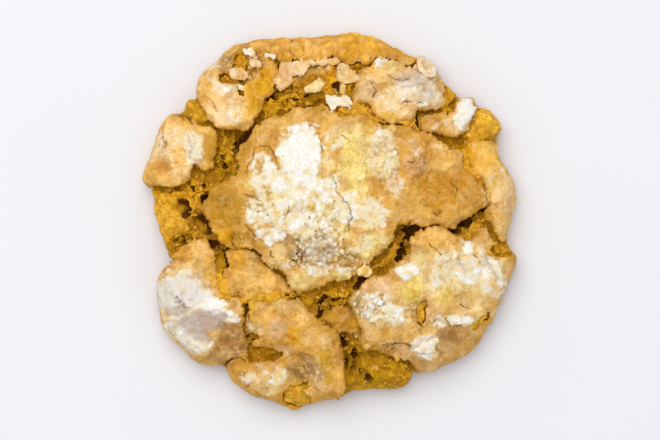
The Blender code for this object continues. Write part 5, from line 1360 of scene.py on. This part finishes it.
def spots_on(piece, wanted, count):
    """Random spots on the faces of a piece, in millimetres, where wanted says yes."""
    mesh = piece.data
    faces = mesh.polygons
    areas = np.empty(len(faces))
    faces.foreach_get("area", areas)
    chances = areas.cumsum() / areas.sum()
    spots = []
    tries = 0
    while len(spots) < count and tries < 40 * count:
        tries += 1
        face = faces[min(int(np.searchsorted(chances, rng.random())), len(faces) - 1)]
        if wanted(mesh, face):
            spots.append((Vector(face.center) / MM, Vector(face.normal)))
    return spots


def value_of(name):
    """Reads a kept value in the middle of a face."""

    def read(mesh, face):
        return mesh.attributes[name].data[face.vertices[0]].value

    return read


def to_metres(pieces):
    for piece in pieces:
        move_corners(piece.data, corner_places(piece.data) * MM)


def make_cookie():
    crumb, crust = crumb_material(), crust_material()
    dough = make_dough(crumb)
    plates = [make_crust(name, crust) for name in PLATE_COLOURS]
    flakes = [make_flake(name, crust) for name in FLAKES]
    to_metres([dough, *plates, *flakes])
    is_open, sugar, broken = value_of("open"), value_of("sugar"), value_of("broken")
    open_crumb = spots_on(dough, lambda mesh, face: is_open(mesh, face) > 0.6 and face.center.z > 0.007, 900)
    scatter("crumbs", speck_material("loose_crumb", "#E4AE38", "#B87C12"), open_crumb, 0.12, 0.7)
    # Painted highlights: white bits on the upward-facing open crumb stand in for glints of light; the white
    # bits on the plates below are clumps of sugar.
    white = spots_on(dough, lambda mesh, face: is_open(mesh, face) > 0.6 and face.normal.z > 0.5, 45)
    torn = []
    for plate in plates:
        reach = len(plate.data.polygons) // 150
        white += spots_on(plate, lambda mesh, face: face.normal.z > 0.4
                          and rng.random() < max(sugar(mesh, face), 0) ** 2, reach)
        torn += spots_on(plate, lambda mesh, face: face.normal.z > 0.4
                         and rng.random() < 0.6 * broken(mesh, face), reach // 2)
    # One piece holds the clumps of sugar and the white bits that are painted glints.
    scatter("sugar_clumps_and_glints", speck_material("sugar", "#F4EFE6", "#E6D8C0"), white, 0.06, 0.24)
    scatter("crust_bits", speck_material("crust_bits", "#EBCF92", "#B98540"), torn, 0.1, 0.45)


def make_stage():
    """A pale sheet of paper under the cookie."""
    sheet = bmesh.new()
    bmesh.ops.create_grid(sheet, x_segments=1, y_segments=1, size=2.0)
    bmesh.ops.translate(sheet, vec=(0, 0, -0.00002), verts=sheet.verts)
    mesh = bpy.data.meshes.new("floor")
    sheet.to_mesh(mesh)
    sheet.free()
    look = Nodes("paper")
    look.surface.inputs["Base Color"].default_value = (0.775, 0.768, 0.79, 1.0)
    look.surface.inputs["Roughness"].default_value = 0.9
    mesh.materials.append(look.material)
    floor = bpy.data.objects.new("floor", mesh)
    bpy.context.scene.collection.objects.link(floor)


def add_light(name, place, size, watts, colour):
    lamp = bpy.data.lights.new(name, "AREA")
    lamp.shape = "DISK"
    lamp.size = size
    lamp.energy = watts
    lamp.color = colour
    holder = bpy.data.objects.new(name, lamp)
    bpy.context.scene.collection.objects.link(holder)
    holder.location = place
    holder.rotation_euler = (-Vector(place)).to_track_quat("-Z", "Y").to_euler()


def make_lights():
    """Soft daylight, a little stronger from the far left."""
    add_light("key", (-0.14, 0.3, 0.72), 0.7, 3.0, (1.0, 0.985, 0.96))
    add_light("overhead", (-0.1, 0.1, 1.2), 0.9, 2.6, (1.0, 1.0, 1.0))
    world = bpy.data.worlds.new("daylight")
    world.use_nodes = True
    sky = world.node_tree.nodes["Background"]
    sky.inputs["Color"].default_value = (0.93, 0.96, 1.0, 1.0)
    sky.inputs["Strength"].default_value = 0.68
    bpy.context.scene.world = world
    bpy.context.scene.view_settings.view_transform = "Standard"


def make_camera():
    """Straight above, so that a pixel of the picture is a fixed size at the height of the rim."""
    camera = bpy.data.cameras.new("camera")
    camera.sensor_width = SENSOR
    camera.lens = SENSOR * CAMERA_HEIGHT / (PIXEL * PICTURE_WIDTH * MM)
    holder = bpy.data.objects.new("camera", camera)
    bpy.context.scene.collection.objects.link(holder)
    half_pixel = PIXEL / 2
    holder.location = (-MIDDLE[0] * MM, (-MIDDLE[1] - half_pixel) * MM, CAMERA_HEIGHT + RIM_HEIGHT * MM)
    bpy.context.scene.camera = holder


make_camera()
make_lights()
make_stage()
make_cookie()
